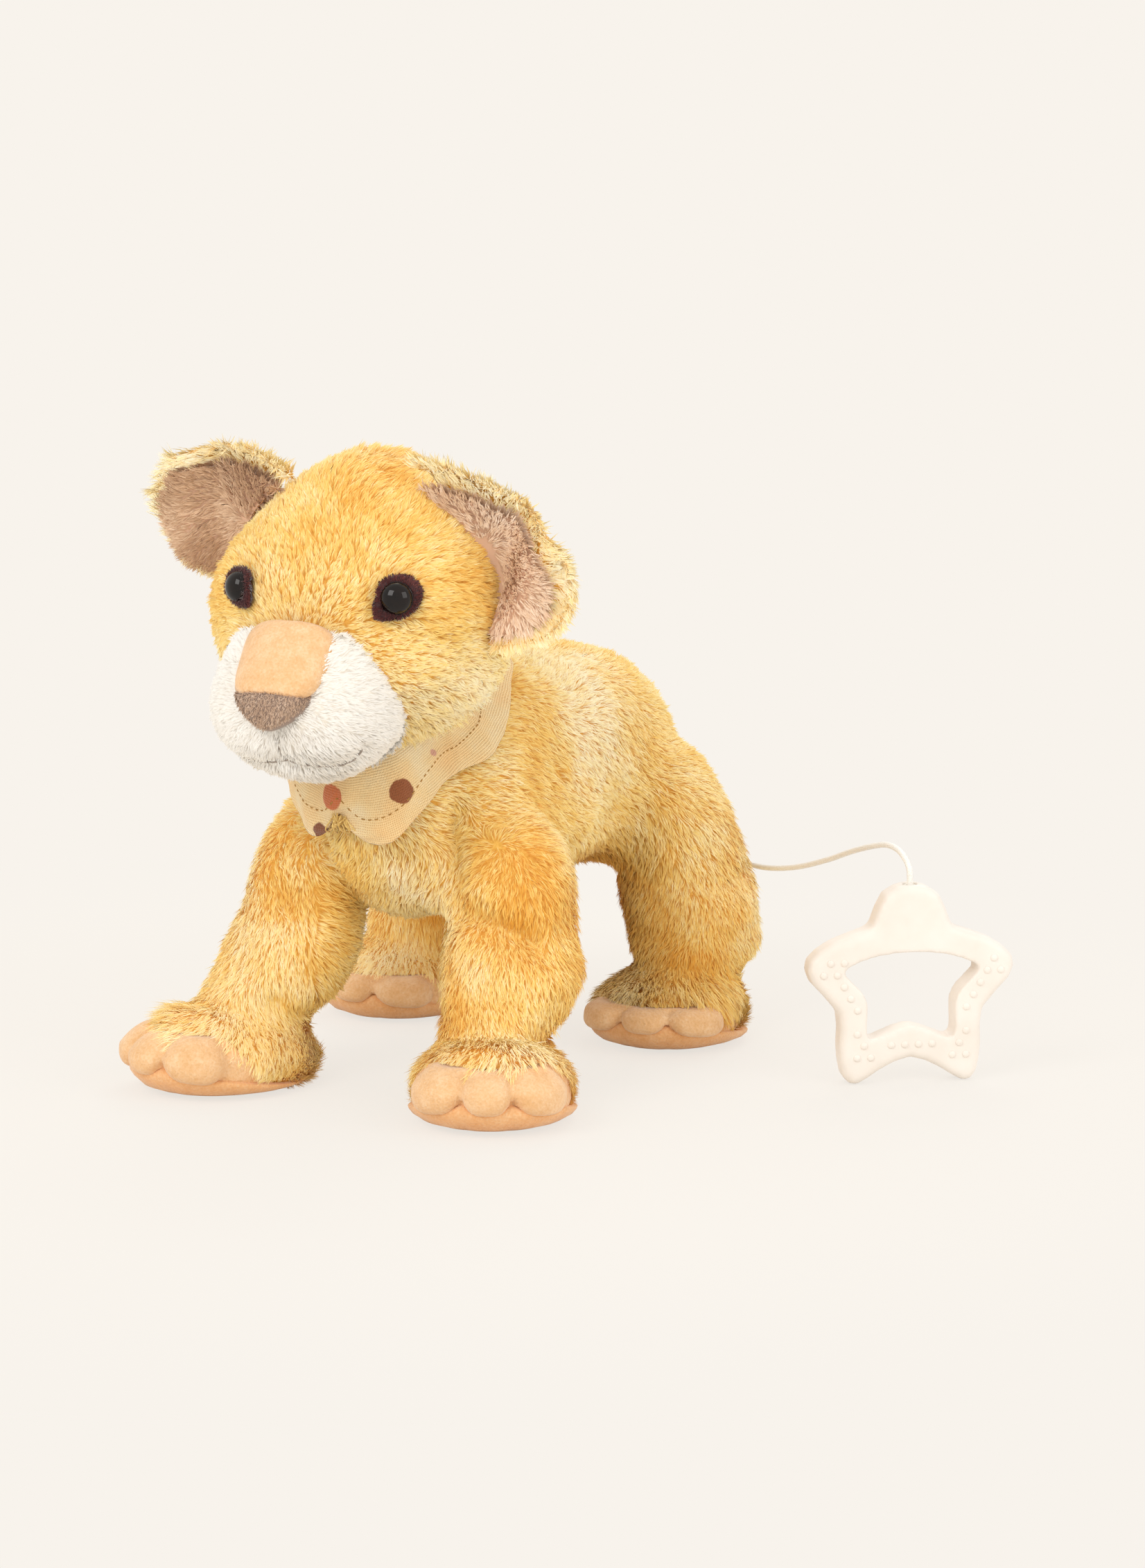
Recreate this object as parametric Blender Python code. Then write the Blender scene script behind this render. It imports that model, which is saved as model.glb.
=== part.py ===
"""A standing plush lion cub with a pull-cord musical movement in its body.

The lion looks along -Y and its left side is at +X. Every place below is written from the
middle of the floor between its paws; at the end the whole model is shifted so that its
origin lies on the floor under the middle of lion and star together.
"""
import math

import bmesh
import bpy
from mathutils import Matrix, Vector
from mathutils.bvhtree import BVHTree

MM = 0.001

# Clearance between neighbouring pieces, and how far a cutter runs past what it cuts
GAP = 0.3 * MM
OVERRUN = 2.0 * MM

# Torso
TORSO_FRONT = -74.0 * MM
TORSO_LENGTH = 202.0 * MM
TORSO_WIDTH = 94.0 * MM
TORSO_HEIGHT = 87.0 * MM
TORSO_MIDDLE_HEIGHT = 102.0 * MM
TORSO_BACK = TORSO_FRONT + TORSO_LENGTH

# Neck, which tilts forward out of the torso
NECK_SET_BACK = 36.0 * MM
NECK_RISE = 16.0 * MM
NECK_TILT = math.radians(34.0)
NECK_FORWARD = -TORSO_FRONT - NECK_SET_BACK
NECK_HEIGHT = TORSO_MIDDLE_HEIGHT + NECK_RISE

# Head and muzzle
HEAD_RISE = 1.0 * MM
HEAD_AHEAD = 22.0 * MM
HEAD_HEIGHT = 103.0 * MM
HEAD_WIDTH = 104.0 * MM
HEAD_DEPTH = 92.0 * MM
HEAD_BOTTOM = NECK_HEIGHT + HEAD_RISE
HEAD_FORWARD = NECK_FORWARD + HEAD_AHEAD
MUZZLE_DROP = 1.5 * MM
MUZZLE_AHEAD = 32.0 * MM
MUZZLE_HEIGHT = 57.0 * MM
MUZZLE_WIDTH = 82.0 * MM
MUZZLE_DEPTH = 60.0 * MM
MUZZLE_BOTTOM = HEAD_BOTTOM - MUZZLE_DROP
MUZZLE_FORWARD = HEAD_FORWARD + MUZZLE_AHEAD

# Bridge and tip of the nose
BRIDGE_WIDTH = 32.0 * MM
BRIDGE_LENGTH = 31.0 * MM
BRIDGE_THICKNESS = 7.0 * MM
BRIDGE_AHEAD_SHARE = 0.35
BRIDGE_RISE_SHARE = 0.737
BRIDGE_FORWARD = MUZZLE_FORWARD + BRIDGE_AHEAD_SHARE * MUZZLE_DEPTH
BRIDGE_MIDDLE_HEIGHT = MUZZLE_BOTTOM + BRIDGE_RISE_SHARE * MUZZLE_HEIGHT
BRIDGE_SLOPE = math.radians(54.0)
BRIDGE_CORNER = 7.0 * MM
NOSE_WIDTH = 29.0 * MM
NOSE_HEIGHT = 14.5 * MM
NOSE_THICKNESS = 11.0 * MM
NOSE_AHEAD_SHARE = 0.483
NOSE_RISE_SHARE = 0.447
NOSE_FORWARD = MUZZLE_FORWARD + NOSE_AHEAD_SHARE * MUZZLE_DEPTH
NOSE_MIDDLE_HEIGHT = MUZZLE_BOTTOM + NOSE_RISE_SHARE * MUZZLE_HEIGHT
STITCH_DIAMETER = 1.2 * MM
MOUTH_RISE_SHARE = 0.149
MOUTH_WIDTH_SHARE = 0.73
PHILTRUM_BOTTOM = MUZZLE_BOTTOM + MOUTH_RISE_SHARE * MUZZLE_HEIGHT
MOUTH_HALF_WIDTH = MOUTH_WIDTH_SHARE * MUZZLE_WIDTH / 2
MOUTH_CURL = 6.0 * MM
MOUTH_CURL_START_SHARE = 0.6
MOUTH_POINTS = 17

# Eyes
EYE_DIAMETER = 10.6 * MM
EYE_DOME_HEIGHT = 4.6 * MM
EYE_RIM_SHARE = 0.94
EYE_RIM_HEIGHT_SHARE = 0.12
EYE_SPACING = 60.0 * MM
EYE_RISE_SHARE = 0.5825
EYE_HEIGHT = HEAD_BOTTOM + EYE_RISE_SHARE * HEAD_HEIGHT
EYE_SHANK_DIAMETER = 3.2 * MM
EYE_SHANK_LENGTH = 15.0 * MM
EYE_WASHER_DIAMETER = 11.0 * MM
EYE_WASHER_THICKNESS = 1.6 * MM
EYE_WASHER_DEPTH = 8.0 * MM
EYE_PATCH_WIDTH = 17.0 * MM
EYE_PATCH_HEIGHT = 15.0 * MM
EYE_PATCH_THICKNESS = 0.9 * MM

# Ears
EAR_LENGTH = 56.0 * MM
EAR_REACH = 42.0 * MM
EAR_THICKNESS = 11.0 * MM
EAR_LINING_THICKNESS = 3.0 * MM
EAR_RIM = 5.0 * MM
EAR_CUP = 11.0 * MM
EAR_SET_BACK = 4.0 * MM
EAR_INSET = 8.0 * MM
EAR_RISE_SHARE = 0.7087
EAR_ROOT_FORWARD = HEAD_FORWARD - EAR_SET_BACK
EAR_SPACING = HEAD_WIDTH - 2 * EAR_INSET
EAR_ROOT_HEIGHT = HEAD_BOTTOM + EAR_RISE_SHARE * HEAD_HEIGHT
EAR_DROOP = math.radians(92.0)
EAR_DROOP_DIFFERENCE = math.radians(18.0)
EAR_LIFT_DIFFERENCE = 6.0 * MM
EAR_TURN = math.radians(12.0)

# Legs
FRONT_LEG_RISE = 4.0 * MM
FRONT_LEG_TOP = TORSO_MIDDLE_HEIGHT + FRONT_LEG_RISE
FRONT_LEG_WIDTH = 50.0 * MM
FRONT_LEG_DEPTH = 48.0 * MM
FRONT_SHOULDER_SPACING = 70.0 * MM
FRONT_SHOULDER_SET_BACK = 36.0 * MM
FRONT_SHOULDER_FORWARD = -TORSO_FRONT - FRONT_SHOULDER_SET_BACK
FRONT_ANKLE_SPACING = 95.0 * MM
FRONT_ANKLE_AHEAD = 19.0 * MM
FRONT_ANKLE_FORWARD = FRONT_SHOULDER_FORWARD + FRONT_ANKLE_AHEAD
REAR_LEG_RISE = 10.0 * MM
REAR_LEG_TOP = TORSO_MIDDLE_HEIGHT + REAR_LEG_RISE
REAR_LEG_WIDTH = 52.0 * MM
REAR_LEG_DEPTH = 60.0 * MM
REAR_HIP_SPACING = 72.0 * MM
REAR_HIP_SET_IN = 44.0 * MM
REAR_HIP_BACK = TORSO_BACK - REAR_HIP_SET_IN
REAR_ANKLE_SPACING = 107.0 * MM
REAR_ANKLE_AHEAD = 5.0 * MM
REAR_ANKLE_BACK = REAR_HIP_BACK - REAR_ANKLE_AHEAD
LEG_FOOT_HEIGHT = 15.0 * MM

# Paws
PAW_WIDTH = 67.0 * MM
PAW_LENGTH = 77.0 * MM
PAW_HEIGHT = 34.0 * MM
PAW_SET_FORWARD = 11.0 * MM
FRONT_PAW_SPLAY = math.radians(24.0)
REAR_PAW_SPLAY = math.radians(8.0)
TOE_COUNT = 3
TOE_BULGE_SHARE = 0.045
HEEL_SLIM_SHARE = 0.10
TOE_FAN = math.radians(58.0)
PANEL_THICKNESS = 1.5 * MM
SOLE_EDGE_HEIGHT = 6.0 * MM
TOE_PANEL_FRONT_HEIGHT = 22.0 * MM
TOE_PANEL_BACK_HEIGHT = 3.0 * MM

# Bandana
BANDANA_THICKNESS = 1.4 * MM
BANDANA_LIFT = 1.2 * MM
BANDANA_FRONT_RISE = 24.0 * MM
BANDANA_FRONT_DROP = 4.0 * MM
BANDANA_BACK_RISE = 15.0 * MM
BANDANA_BACK_LIFT = 5.0 * MM
BANDANA_FOLD_HEIGHT = 2.2 * MM
BANDANA_FOLDS = 11
BANDANA_GATHER_RISE = 10.0 * MM
BANDANA_GATHER_SPREAD = math.radians(9.5)
TACK_DIAMETER = 6.0 * MM
TACK_HEIGHT = 2.4 * MM
TACK_DROP = 1.6 * MM

# Pull cord
CORD_DIAMETER = 2.2 * MM
CORD_EXIT_DROP = 22.0 * MM
CORD_EXIT_RECESS = 1.4 * MM
CORD_EXIT_HEIGHT = TORSO_MIDDLE_HEIGHT - CORD_EXIT_DROP
CORD_EXIT_BACK = TORSO_BACK - CORD_EXIT_RECESS
CORD_STEP = 6.2 * MM
CORD_ROUTE = (
    (0.0000, 0.1266, 0.0800), (0.0003, 0.1320, 0.0799), (0.0025, 0.1378, 0.0790),
    (0.0080, 0.1432, 0.0765), (0.0175, 0.1462, 0.0718), (0.0290, 0.1445, 0.0661),
    (0.0400, 0.1390, 0.0605), (0.0500, 0.1320, 0.0568), (0.0600, 0.1255, 0.0552),
    (0.0720, 0.1180, 0.0560), (0.0860, 0.1115, 0.0588), (0.1010, 0.1040, 0.0640),
    (0.1150, 0.0935, 0.0700), (0.1290, 0.0780, 0.0755), (0.1410, 0.0630, 0.0795),
    (0.1500, 0.0515, 0.0805), (0.1555, 0.0455, 0.0785), (0.1579, 0.0433, 0.0755),
    (0.1583, 0.0430, 0.0720), (0.1583, 0.0430, 0.0686), (0.1583, 0.0430, 0.0653),
)

# Cord eyelet in the rump
EYELET_FLANGE_DIAMETER = 9.0 * MM
EYELET_TUBE_DIAMETER = 5.4 * MM
EYELET_BORE = 3.2 * MM
EYELET_FLANGE_THICKNESS = 1.4 * MM
EYELET_TUBE_LENGTH = 6.0 * MM

# Star grip
STAR_WIDTH = 73.0 * MM
STAR_HEIGHT = 71.0 * MM
STAR_THICKNESS = 11.0 * MM
STAR_EDGE_ROUND = 2.2 * MM
STAR_PLACE = (158.3 * MM, 43.0 * MM)
STAR_TURN = math.radians(37.0)
ANCHOR_DIAMETER = 4.6 * MM
ANCHOR_LENGTH = 5.0 * MM
KNOT_DIAMETER = 4.2 * MM
STAR_BORE_DEPTH = STAR_EDGE_ROUND + ANCHOR_LENGTH + KNOT_DIAMETER + 2 * GAP

# Musical movement
CASE_WIDTH = 56.0 * MM
CASE_REAR_ROOM = 3.8 * MM
CASE_HEIGHT = 36.0 * MM
CASE_WALL = 1.6 * MM
CASE_CORNER = 1.5 * MM
CASE_SLOT_COUNT = 5
CASE_SLOT_LENGTH = 26.0 * MM
CASE_SLOT_WIDTH = 1.8 * MM
CASE_SLOT_PITCH = 4.6 * MM
BOSS_DIAMETER = 4.6 * MM
SCREW_DIAMETER = 2.0 * MM
SCREW_HEAD_DIAMETER = 3.6 * MM
SCREW_HEAD_HEIGHT = 1.4 * MM
FRAME_SHEET = 1.4 * MM
FRAME_SIDE_ROOM = 6.9 * MM
FRAME_END_ROOM = 3.4 * MM
FRAME_TOP_ROOM = 4.5 * MM
FRAME_WIDTH = CASE_WIDTH - 2 * (CASE_WALL + FRAME_SIDE_ROOM)
FRAME_HEIGHT = CASE_HEIGHT - 2 * CASE_WALL - GAP - FRAME_TOP_ROOM
GEAR_MODULE = 0.6 * MM
GEAR_THICKNESS = 3.0 * MM
GEAR_SIDE_ROOM = 4.6 * MM
GEAR_FLOOR_ROOM = 1.1 * MM
GEAR_OFFSET = FRAME_WIDTH / 2 - FRAME_SHEET - GEAR_SIDE_ROOM
TOOTH_TIP_SHARE = 0.85
TOOTH_ROOT_SHARE = 1.2
GREAT_WHEEL_TEETH = 32
CYLINDER_WHEEL_TEETH = 24
GOVERNOR_PINION_TEETH = 10
TOOTH_SHARE = 0.34
ARBOR_DIAMETER = 2.0 * MM
SPOOL_WINDING_RADIUS = 7.5 * MM
SPOOL_CORE_DIAMETER = 8.0 * MM
SPOOL_SIDE_ROOM = 1.1 * MM
SPOOL_WIDTH = 7.0 * MM
SPOOL_SET_IN = 44.5 * MM
SPOOL_FLANGE_THICKNESS = 1.0 * MM
BARREL_END_ROOM = 1.1 * MM
BARREL_WALL = 1.0 * MM
SPRING_TURNS = 4
SPRING_POINTS = 9
SPRING_SHEET = 0.35 * MM
CYLINDER_DIAMETER = 12.0 * MM
CYLINDER_END_ROOM = 1.2 * MM
CYLINDER_LENGTH = 2 * (GEAR_OFFSET - GEAR_THICKNESS / 2 - CYLINDER_END_ROOM)
PIN_HEIGHT = 0.5 * MM
COMB_TEETH = 18
CYLINDER_STEP_COUNT = 14
CYLINDER_DROP_SHARE = 0.305
GOVERNOR_DROP_SHARE = 0.62
COMB_LENGTH = 6.5 * MM
COMB_THICKNESS = 0.8 * MM
COMB_DROP = 2.6 * MM
COMB_BLOCK_DEPTH = 5.0 * MM
COMB_SLOT_SHARE = 0.32
GOVERNOR_FAN_LENGTH = 12.0 * MM
GOVERNOR_FAN_THICKNESS = 0.8 * MM

# Material colours
PLUSH_GOLD = (0.83, 0.60, 0.27)
PLUSH_WHITE = (0.92, 0.90, 0.86)
LINING_ROSE = (0.66, 0.46, 0.33)
VELOUR_PEACH = (0.88, 0.60, 0.36)
NOSE_TAUPE = (0.33, 0.23, 0.19)
THREAD_GREY = (0.30, 0.24, 0.20)
EYE_BLACK = (0.01, 0.01, 0.01)
EMBROIDERY_BROWN = (0.06, 0.02, 0.02)
MUSLIN_APRICOT = (0.86, 0.60, 0.33)
CORD_WHITE = (0.86, 0.83, 0.78)
SILICONE_CREAM = (0.98, 0.90, 0.82)
CASE_WHITE = (0.80, 0.80, 0.78)
STEEL_GREY = (0.55, 0.55, 0.56)
BRASS_YELLOW = (0.75, 0.55, 0.22)
NYLON_WHITE = (0.85, 0.85, 0.80)


def start_empty():
    for old in list(bpy.data.objects):
        bpy.data.objects.remove(old, do_unlink=True)
    return bpy.data.objects.new("lion_frame", None)


ROOT = start_empty()
bpy.context.scene.collection.objects.link(ROOT)


def finish_of(name, colour, roughness=0.8, metallic=0.0):
    material = bpy.data.materials.new(name)
    material.use_nodes = True
    shader = material.node_tree.nodes["Principled BSDF"]
    shader.inputs["Base Color"].default_value = (*colour, 1.0)
    shader.inputs["Roughness"].default_value = roughness
    shader.inputs["Metallic"].default_value = metallic
    return material


def add_object(name, mesh, material, place=(0.0, 0.0, 0.0)):
    piece = bpy.data.objects.new(name, mesh)
    piece.location = place
    piece.parent = ROOT
    mesh.materials.clear()
    mesh.materials.append(material)
    bpy.context.scene.collection.objects.link(piece)
    return piece


def mesh_from(name, bm):
    bmesh.ops.recalc_face_normals(bm, faces=bm.faces)
    mesh = bpy.data.meshes.new(name)
    bm.to_mesh(mesh)
    bm.free()
    mesh.shade_smooth()
    mesh.set_sharp_from_angle(angle=math.radians(40.0))
    return mesh


def evaluated_mesh(piece):
    bpy.context.view_layer.update()
    depsgraph = bpy.context.evaluated_depsgraph_get()
    return bpy.data.meshes.new_from_object(piece.evaluated_get(depsgraph))


def carve(piece, *cutters, operation="DIFFERENCE"):
    """Cut the cutters out of the piece for good, and remove them."""
    for cutter in cutters:
        cut = piece.modifiers.new("cut", "BOOLEAN")
        cut.operation = operation
        cut.object = cutter
        cut.solver = "EXACT"
        mesh = evaluated_mesh(piece)
        piece.modifiers.clear()
        piece.data = mesh
        bpy.data.objects.remove(cutter, do_unlink=True)
    mesh = piece.data
    bm = bmesh.new()
    bm.from_mesh(mesh)
    bmesh.ops.dissolve_degenerate(bm, edges=bm.edges, dist=GAP / 30)
    if bm.calc_volume(signed=True) < 0.0:
        bmesh.ops.reverse_faces(bm, faces=bm.faces)
    bm.to_mesh(mesh)
    bm.free()
    return piece


def grown(piece, distance=GAP):
    """A copy of the piece, larger all round by the distance, to cut its neighbours with."""
    mesh = evaluated_mesh(piece)
    normals = [vertex.normal.copy() for vertex in mesh.vertices]
    for vertex, normal in zip(mesh.vertices, normals):
        vertex.co += normal * distance
    copy = add_object(piece.name + "_cutter", mesh, PLUSH)
    copy.matrix_local = piece.matrix_local
    return copy


def spline(rows, t):
    """A smooth value between rows of (t, values...), whose first entries rise."""
    last = len(rows) - 2
    index = next((i for i in range(last + 1) if t <= rows[i + 1][0]), last)
    a, b = rows[index], rows[index + 1]
    before = rows[max(index - 1, 0)]
    after = rows[min(index + 2, last + 1)]
    span = b[0] - a[0]
    u = (t - a[0]) / span
    values = []
    for k in range(1, len(a)):
        slope_a = (b[k] - before[k]) / (b[0] - before[0]) * span
        slope_b = (after[k] - a[k]) / (after[0] - a[0]) * span
        values.append((2 * u**3 - 3 * u**2 + 1) * a[k] + (u**3 - 2 * u**2 + u) * slope_a
                      + (3 * u**2 - 2 * u**3) * b[k] + (u**3 - u**2) * slope_b)
    return values


def rounding(t, start, end):
    """How far a stuffed form has swelled, from nothing at both ends to 1 between them."""
    near = min(t / start, 1.0) if start else 1.0
    far = min((1.0 - t) / end, 1.0) if end else 1.0
    return math.sqrt(max(near * (2.0 - near), 0.0)) * math.sqrt(max(far * (2.0 - far), 0.0))


def skin_rings(rings):
    """A closed mesh over rings of points; a ring of one point closes an end."""
    bm = bmesh.new()
    rows = [[bm.verts.new(point) for point in ring] for ring in rings]
    for lower, upper in zip(rows, rows[1:]):
        sides = max(len(lower), len(upper))
        for k in range(sides):
            n = (k + 1) % sides
            if len(lower) == 1:
                bm.faces.new((lower[0], upper[n], upper[k]))
            elif len(upper) == 1:
                bm.faces.new((lower[k], lower[n], upper[0]))
            else:
                bm.faces.new((lower[k], lower[n], upper[n], upper[k]))
    for row in (rows[0], rows[-1]):
        if len(row) > 1:
            bm.faces.new(row)
    return bm


def stuffed(name, place_at, size_at, across, up, rings, sides, material, ends=(0.2, 0.2),
            squareness=2.3):
    """A stuffed form: place_at(t) is its centre line, size_at(t) its half width and height."""
    power = 2.0 / squareness
    points = []
    for i in range(rings + 1):
        t = 0.5 - 0.5 * math.cos(math.pi * i / rings)
        centre = Vector(place_at(t))
        if i in (0, rings):
            points.append([centre])
            continue
        swell = rounding(t, *ends)
        half_width, half_height = (half * swell for half in size_at(t))
        ring = []
        for k in range(sides):
            angle = 2.0 * math.pi * k / sides
            c, s = math.cos(angle), math.sin(angle)
            ring.append(centre
                        + across * (math.copysign(abs(c)**power, c) * half_width)
                        + up * (math.copysign(abs(s)**power, s) * half_height))
        points.append(ring)
    return add_object(name, mesh_from(name, skin_rings(points)), material)


def box(name, low, high, material, bevel=0.0):
    low, high = Vector(low), Vector(high)
    bm = bmesh.new()
    bmesh.ops.create_cube(bm, size=1.0)
    bmesh.ops.scale(bm, vec=high - low, verts=bm.verts)
    bmesh.ops.translate(bm, vec=(low + high) / 2, verts=bm.verts)
    if bevel:
        bmesh.ops.bevel(bm, geom=bm.edges, offset=bevel, segments=2, affect="EDGES", profile=0.5)
    return add_object(name, mesh_from(name, bm), material)


def turned(name, profile, material, sides=24, axis="Z", place=(0.0, 0.0, 0.0), turn=None):
    """A lathe-turned solid: profile is (radius, along) from one end to the other.

    Where the profile comes back to its first point the solid is a ring with a bore."""
    bm = bmesh.new()
    loop = profile[0] == profile[-1]
    outline = profile[:-1] if loop else profile
    rings = []
    for radius, along in outline:
        if radius == 0.0:
            rings.append([Vector((0.0, 0.0, along))])
            continue
        rings.append([Vector((radius * math.cos(2 * math.pi * k / sides),
                              radius * math.sin(2 * math.pi * k / sides), along))
                      for k in range(sides)])
    rows = [[bm.verts.new(point) for point in ring] for ring in rings]
    pairs = list(zip(rows, rows[1:])) + ([(rows[-1], rows[0])] if loop else [])
    for lower, upper in pairs:
        for k in range(sides):
            n = (k + 1) % sides
            if len(lower) == 1:
                bm.faces.new((lower[0], upper[n], upper[k]))
            elif len(upper) == 1:
                bm.faces.new((lower[k], lower[n], upper[0]))
            else:
                bm.faces.new((lower[k], lower[n], upper[n], upper[k]))
    if not loop:
        for row in (rows[0], rows[-1]):
            if len(row) > 1:
                bm.faces.new(row)
    aim = {"X": Matrix.Rotation(math.pi / 2, 4, "Y"), "Y": Matrix.Rotation(-math.pi / 2, 4, "X"),
           "Z": Matrix.Identity(4)}[axis]
    bmesh.ops.transform(bm, matrix=(turn or aim), verts=bm.verts)
    return add_object(name, mesh_from(name, bm), material, place)


def plate(name, outline, low, high, material, axis="Z", place=(0.0, 0.0, 0.0)):
    """A flat plate: an outline of (a, b) points drawn out from low to high along the axis."""
    frames = {"Z": lambda a, b, c: (a, b, c), "X": lambda a, b, c: (c, a, b),
              "Y": lambda a, b, c: (a, c, b)}
    at = frames[axis]
    bm = bmesh.new()
    lower = [bm.verts.new(at(a, b, low)) for a, b in outline]
    upper = [bm.verts.new(at(a, b, high)) for a, b in outline]
    bm.faces.new(lower)
    bm.faces.new(upper)
    for k in range(len(outline)):
        n = (k + 1) % len(outline)
        bm.faces.new((lower[k], lower[n], upper[n], upper[k]))
    return add_object(name, mesh_from(name, bm), material, place)


def round_profile(points, closed=True, detail=3):
    """Points of a smooth curve through an outline's own points."""
    count = len(points)
    spans = count if closed else count - 1
    smooth = []
    for i in range(spans):
        a, b, c, d = (Vector(points[(i + k) % count]) if closed
                      else Vector(points[min(max(i + k, 0), count - 1)]) for k in (-1, 0, 1, 2))
        for step in range(detail):
            u = step / detail
            smooth.append(0.5 * (2 * b + (c - a) * u + (2 * a - 5 * b + 4 * c - d) * u**2
                                 + (3 * b - a - 3 * c + d) * u**3))
    if not closed:
        smooth.append(Vector(points[-1]))
    return smooth


def tree_of(piece):
    mesh = evaluated_mesh(piece)
    tree = BVHTree.FromPolygons([vertex.co.copy() for vertex in mesh.vertices],
                                [tuple(polygon.vertices) for polygon in mesh.polygons])
    bpy.data.meshes.remove(mesh)
    return tree


PLUSH = finish_of("gold_plush", PLUSH_GOLD, 0.95)
WHITE_PLUSH = finish_of("white_plush", PLUSH_WHITE, 0.95)
LINING = finish_of("ear_lining_plush", LINING_ROSE, 0.95)
VELOUR = finish_of("peach_velour", VELOUR_PEACH, 0.95)
TAUPE = finish_of("taupe_velour", NOSE_TAUPE, 0.95)
THREAD = finish_of("mouth_thread", THREAD_GREY, 0.8)
EYE_GLOSS = finish_of("eye_plastic", EYE_BLACK, 0.08)
EMBROIDERY = finish_of("eye_embroidery", EMBROIDERY_BROWN, 0.7)
MUSLIN = finish_of("apricot_muslin", MUSLIN_APRICOT, 0.9)
BRAID = finish_of("braided_cord", CORD_WHITE, 0.7)
SILICONE = finish_of("cream_silicone", SILICONE_CREAM, 0.45)
CASE_PLASTIC = finish_of("case_plastic", CASE_WHITE, 0.4)
STEEL = finish_of("steel", STEEL_GREY, 0.3, 1.0)
BRASS = finish_of("brass", BRASS_YELLOW, 0.3, 1.0)
NYLON = finish_of("nylon", NYLON_WHITE, 0.5)

ACROSS = Vector((1.0, 0.0, 0.0))
BACKWARD = Vector((0.0, 1.0, 0.0))
UPWARD = Vector((0.0, 0.0, 1.0))


# Torso: a long cushion, high at the shoulders, with a dropped rump
TORSO_SHARES = (
    (0.00, 0.09, 0.66, 0.92), (0.12, 0.08, 0.86, 1.02), (0.26, 0.07, 0.95, 1.08),
    (0.42, 0.05, 0.96, 1.04), (0.60, 0.02, 0.97, 0.98), (0.78, -0.01, 1.00, 0.99),
    (0.92, -0.06, 0.94, 0.88), (1.00, -0.12, 0.80, 0.70),
)


def torso_place(t):
    rise = spline(TORSO_SHARES, t)[0]
    return (0.0, TORSO_FRONT + TORSO_LENGTH * t, TORSO_MIDDLE_HEIGHT + TORSO_HEIGHT * rise)


def torso_size(t):
    width, height = spline(TORSO_SHARES, t)[1:]
    return TORSO_WIDTH / 2 * width, TORSO_HEIGHT / 2 * height


TORSO = stuffed("torso", torso_place, torso_size, ACROSS, UPWARD, 18, 26, PLUSH, (0.20, 0.22))

# Head: broad at the cheeks, round at the brow
HEAD_SHARES = (
    (0.00, 0.02, 0.78, 0.78), (0.20, 0.01, 0.93, 0.92), (0.42, 0.00, 1.00, 1.00),
    (0.62, 0.00, 0.99, 0.99), (0.80, 0.03, 0.92, 0.94), (1.00, 0.07, 0.80, 0.84),
)


def head_place(t):
    back = spline(HEAD_SHARES, t)[0]
    return (0.0, -HEAD_FORWARD + HEAD_DEPTH * back, HEAD_BOTTOM + HEAD_HEIGHT * t)


def head_size(t):
    width, depth = spline(HEAD_SHARES, t)[1:]
    return HEAD_WIDTH / 2 * width, HEAD_DEPTH / 2 * depth


HEAD = stuffed("head", head_place, head_size, ACROSS, BACKWARD, 14, 26, PLUSH, (0.34, 0.42), 2.15)
HEAD_TREE = tree_of(HEAD)

# Bandana: one band of muslin round the neck, deep in front and gathered under the chin
BANDANA_SIDES = 56
BANDANA_LEVELS = 5


def bandana_rows(lift, overrun=0.0):
    """Rings of points over the neck, from the upper edge down, at a height above the plush."""
    torso_tree = tree_of(TORSO)
    middle = Vector((0.0, -NECK_FORWARD, NECK_HEIGHT))
    neck_way = Vector((0.0, -math.sin(NECK_TILT), math.cos(NECK_TILT)))
    front_way = Vector((0.0, -math.cos(NECK_TILT), -math.sin(NECK_TILT)))
    rows = []
    for level in range(BANDANA_LEVELS + 1):
        down = level / BANDANA_LEVELS
        ring = []
        for k in range(BANDANA_SIDES):
            angle = 2 * math.pi * k / BANDANA_SIDES
            front = 0.5 + 0.5 * math.cos(angle)
            top = BANDANA_BACK_RISE + (BANDANA_FRONT_RISE - BANDANA_BACK_RISE) * front
            bottom = BANDANA_BACK_LIFT - (BANDANA_FRONT_DROP + BANDANA_BACK_LIFT) * front
            off_middle = min(angle, 2 * math.pi - angle)
            bottom += BANDANA_GATHER_RISE * math.exp(-(off_middle / BANDANA_GATHER_SPREAD)**2)
            way = ACROSS * math.sin(angle) + front_way * math.cos(angle)
            top += overrun
            bottom -= overrun
            start = middle + neck_way * (top + (bottom - top) * down) + way * TORSO_LENGTH
            point, normal = torso_tree.ray_cast(start, -way)[:2]
            fold = 0.5 + 0.5 * math.cos(angle * BANDANA_FOLDS + 2 * down)
            fold *= BANDANA_FOLD_HEIGHT * front * (0.35 + 0.65 * down)
            ring.append(point + way * (lift + fold))
        rows.append(ring)
    return rows


def bandana_mesh():
    inner = bandana_rows(BANDANA_LIFT)
    outer = bandana_rows(BANDANA_LIFT + BANDANA_THICKNESS)
    rings = outer + inner[::-1]
    bm = bmesh.new()
    rows = [[bm.verts.new(point) for point in ring] for ring in rings]
    for upper, lower in zip(rows, rows[1:] + rows[:1]):
        for k in range(BANDANA_SIDES):
            n = (k + 1) % BANDANA_SIDES
            bm.faces.new((upper[k], upper[n], lower[n], lower[k]))
    return bm


add_object("bandana", mesh_from("bandana", bandana_mesh()), MUSLIN)


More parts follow.
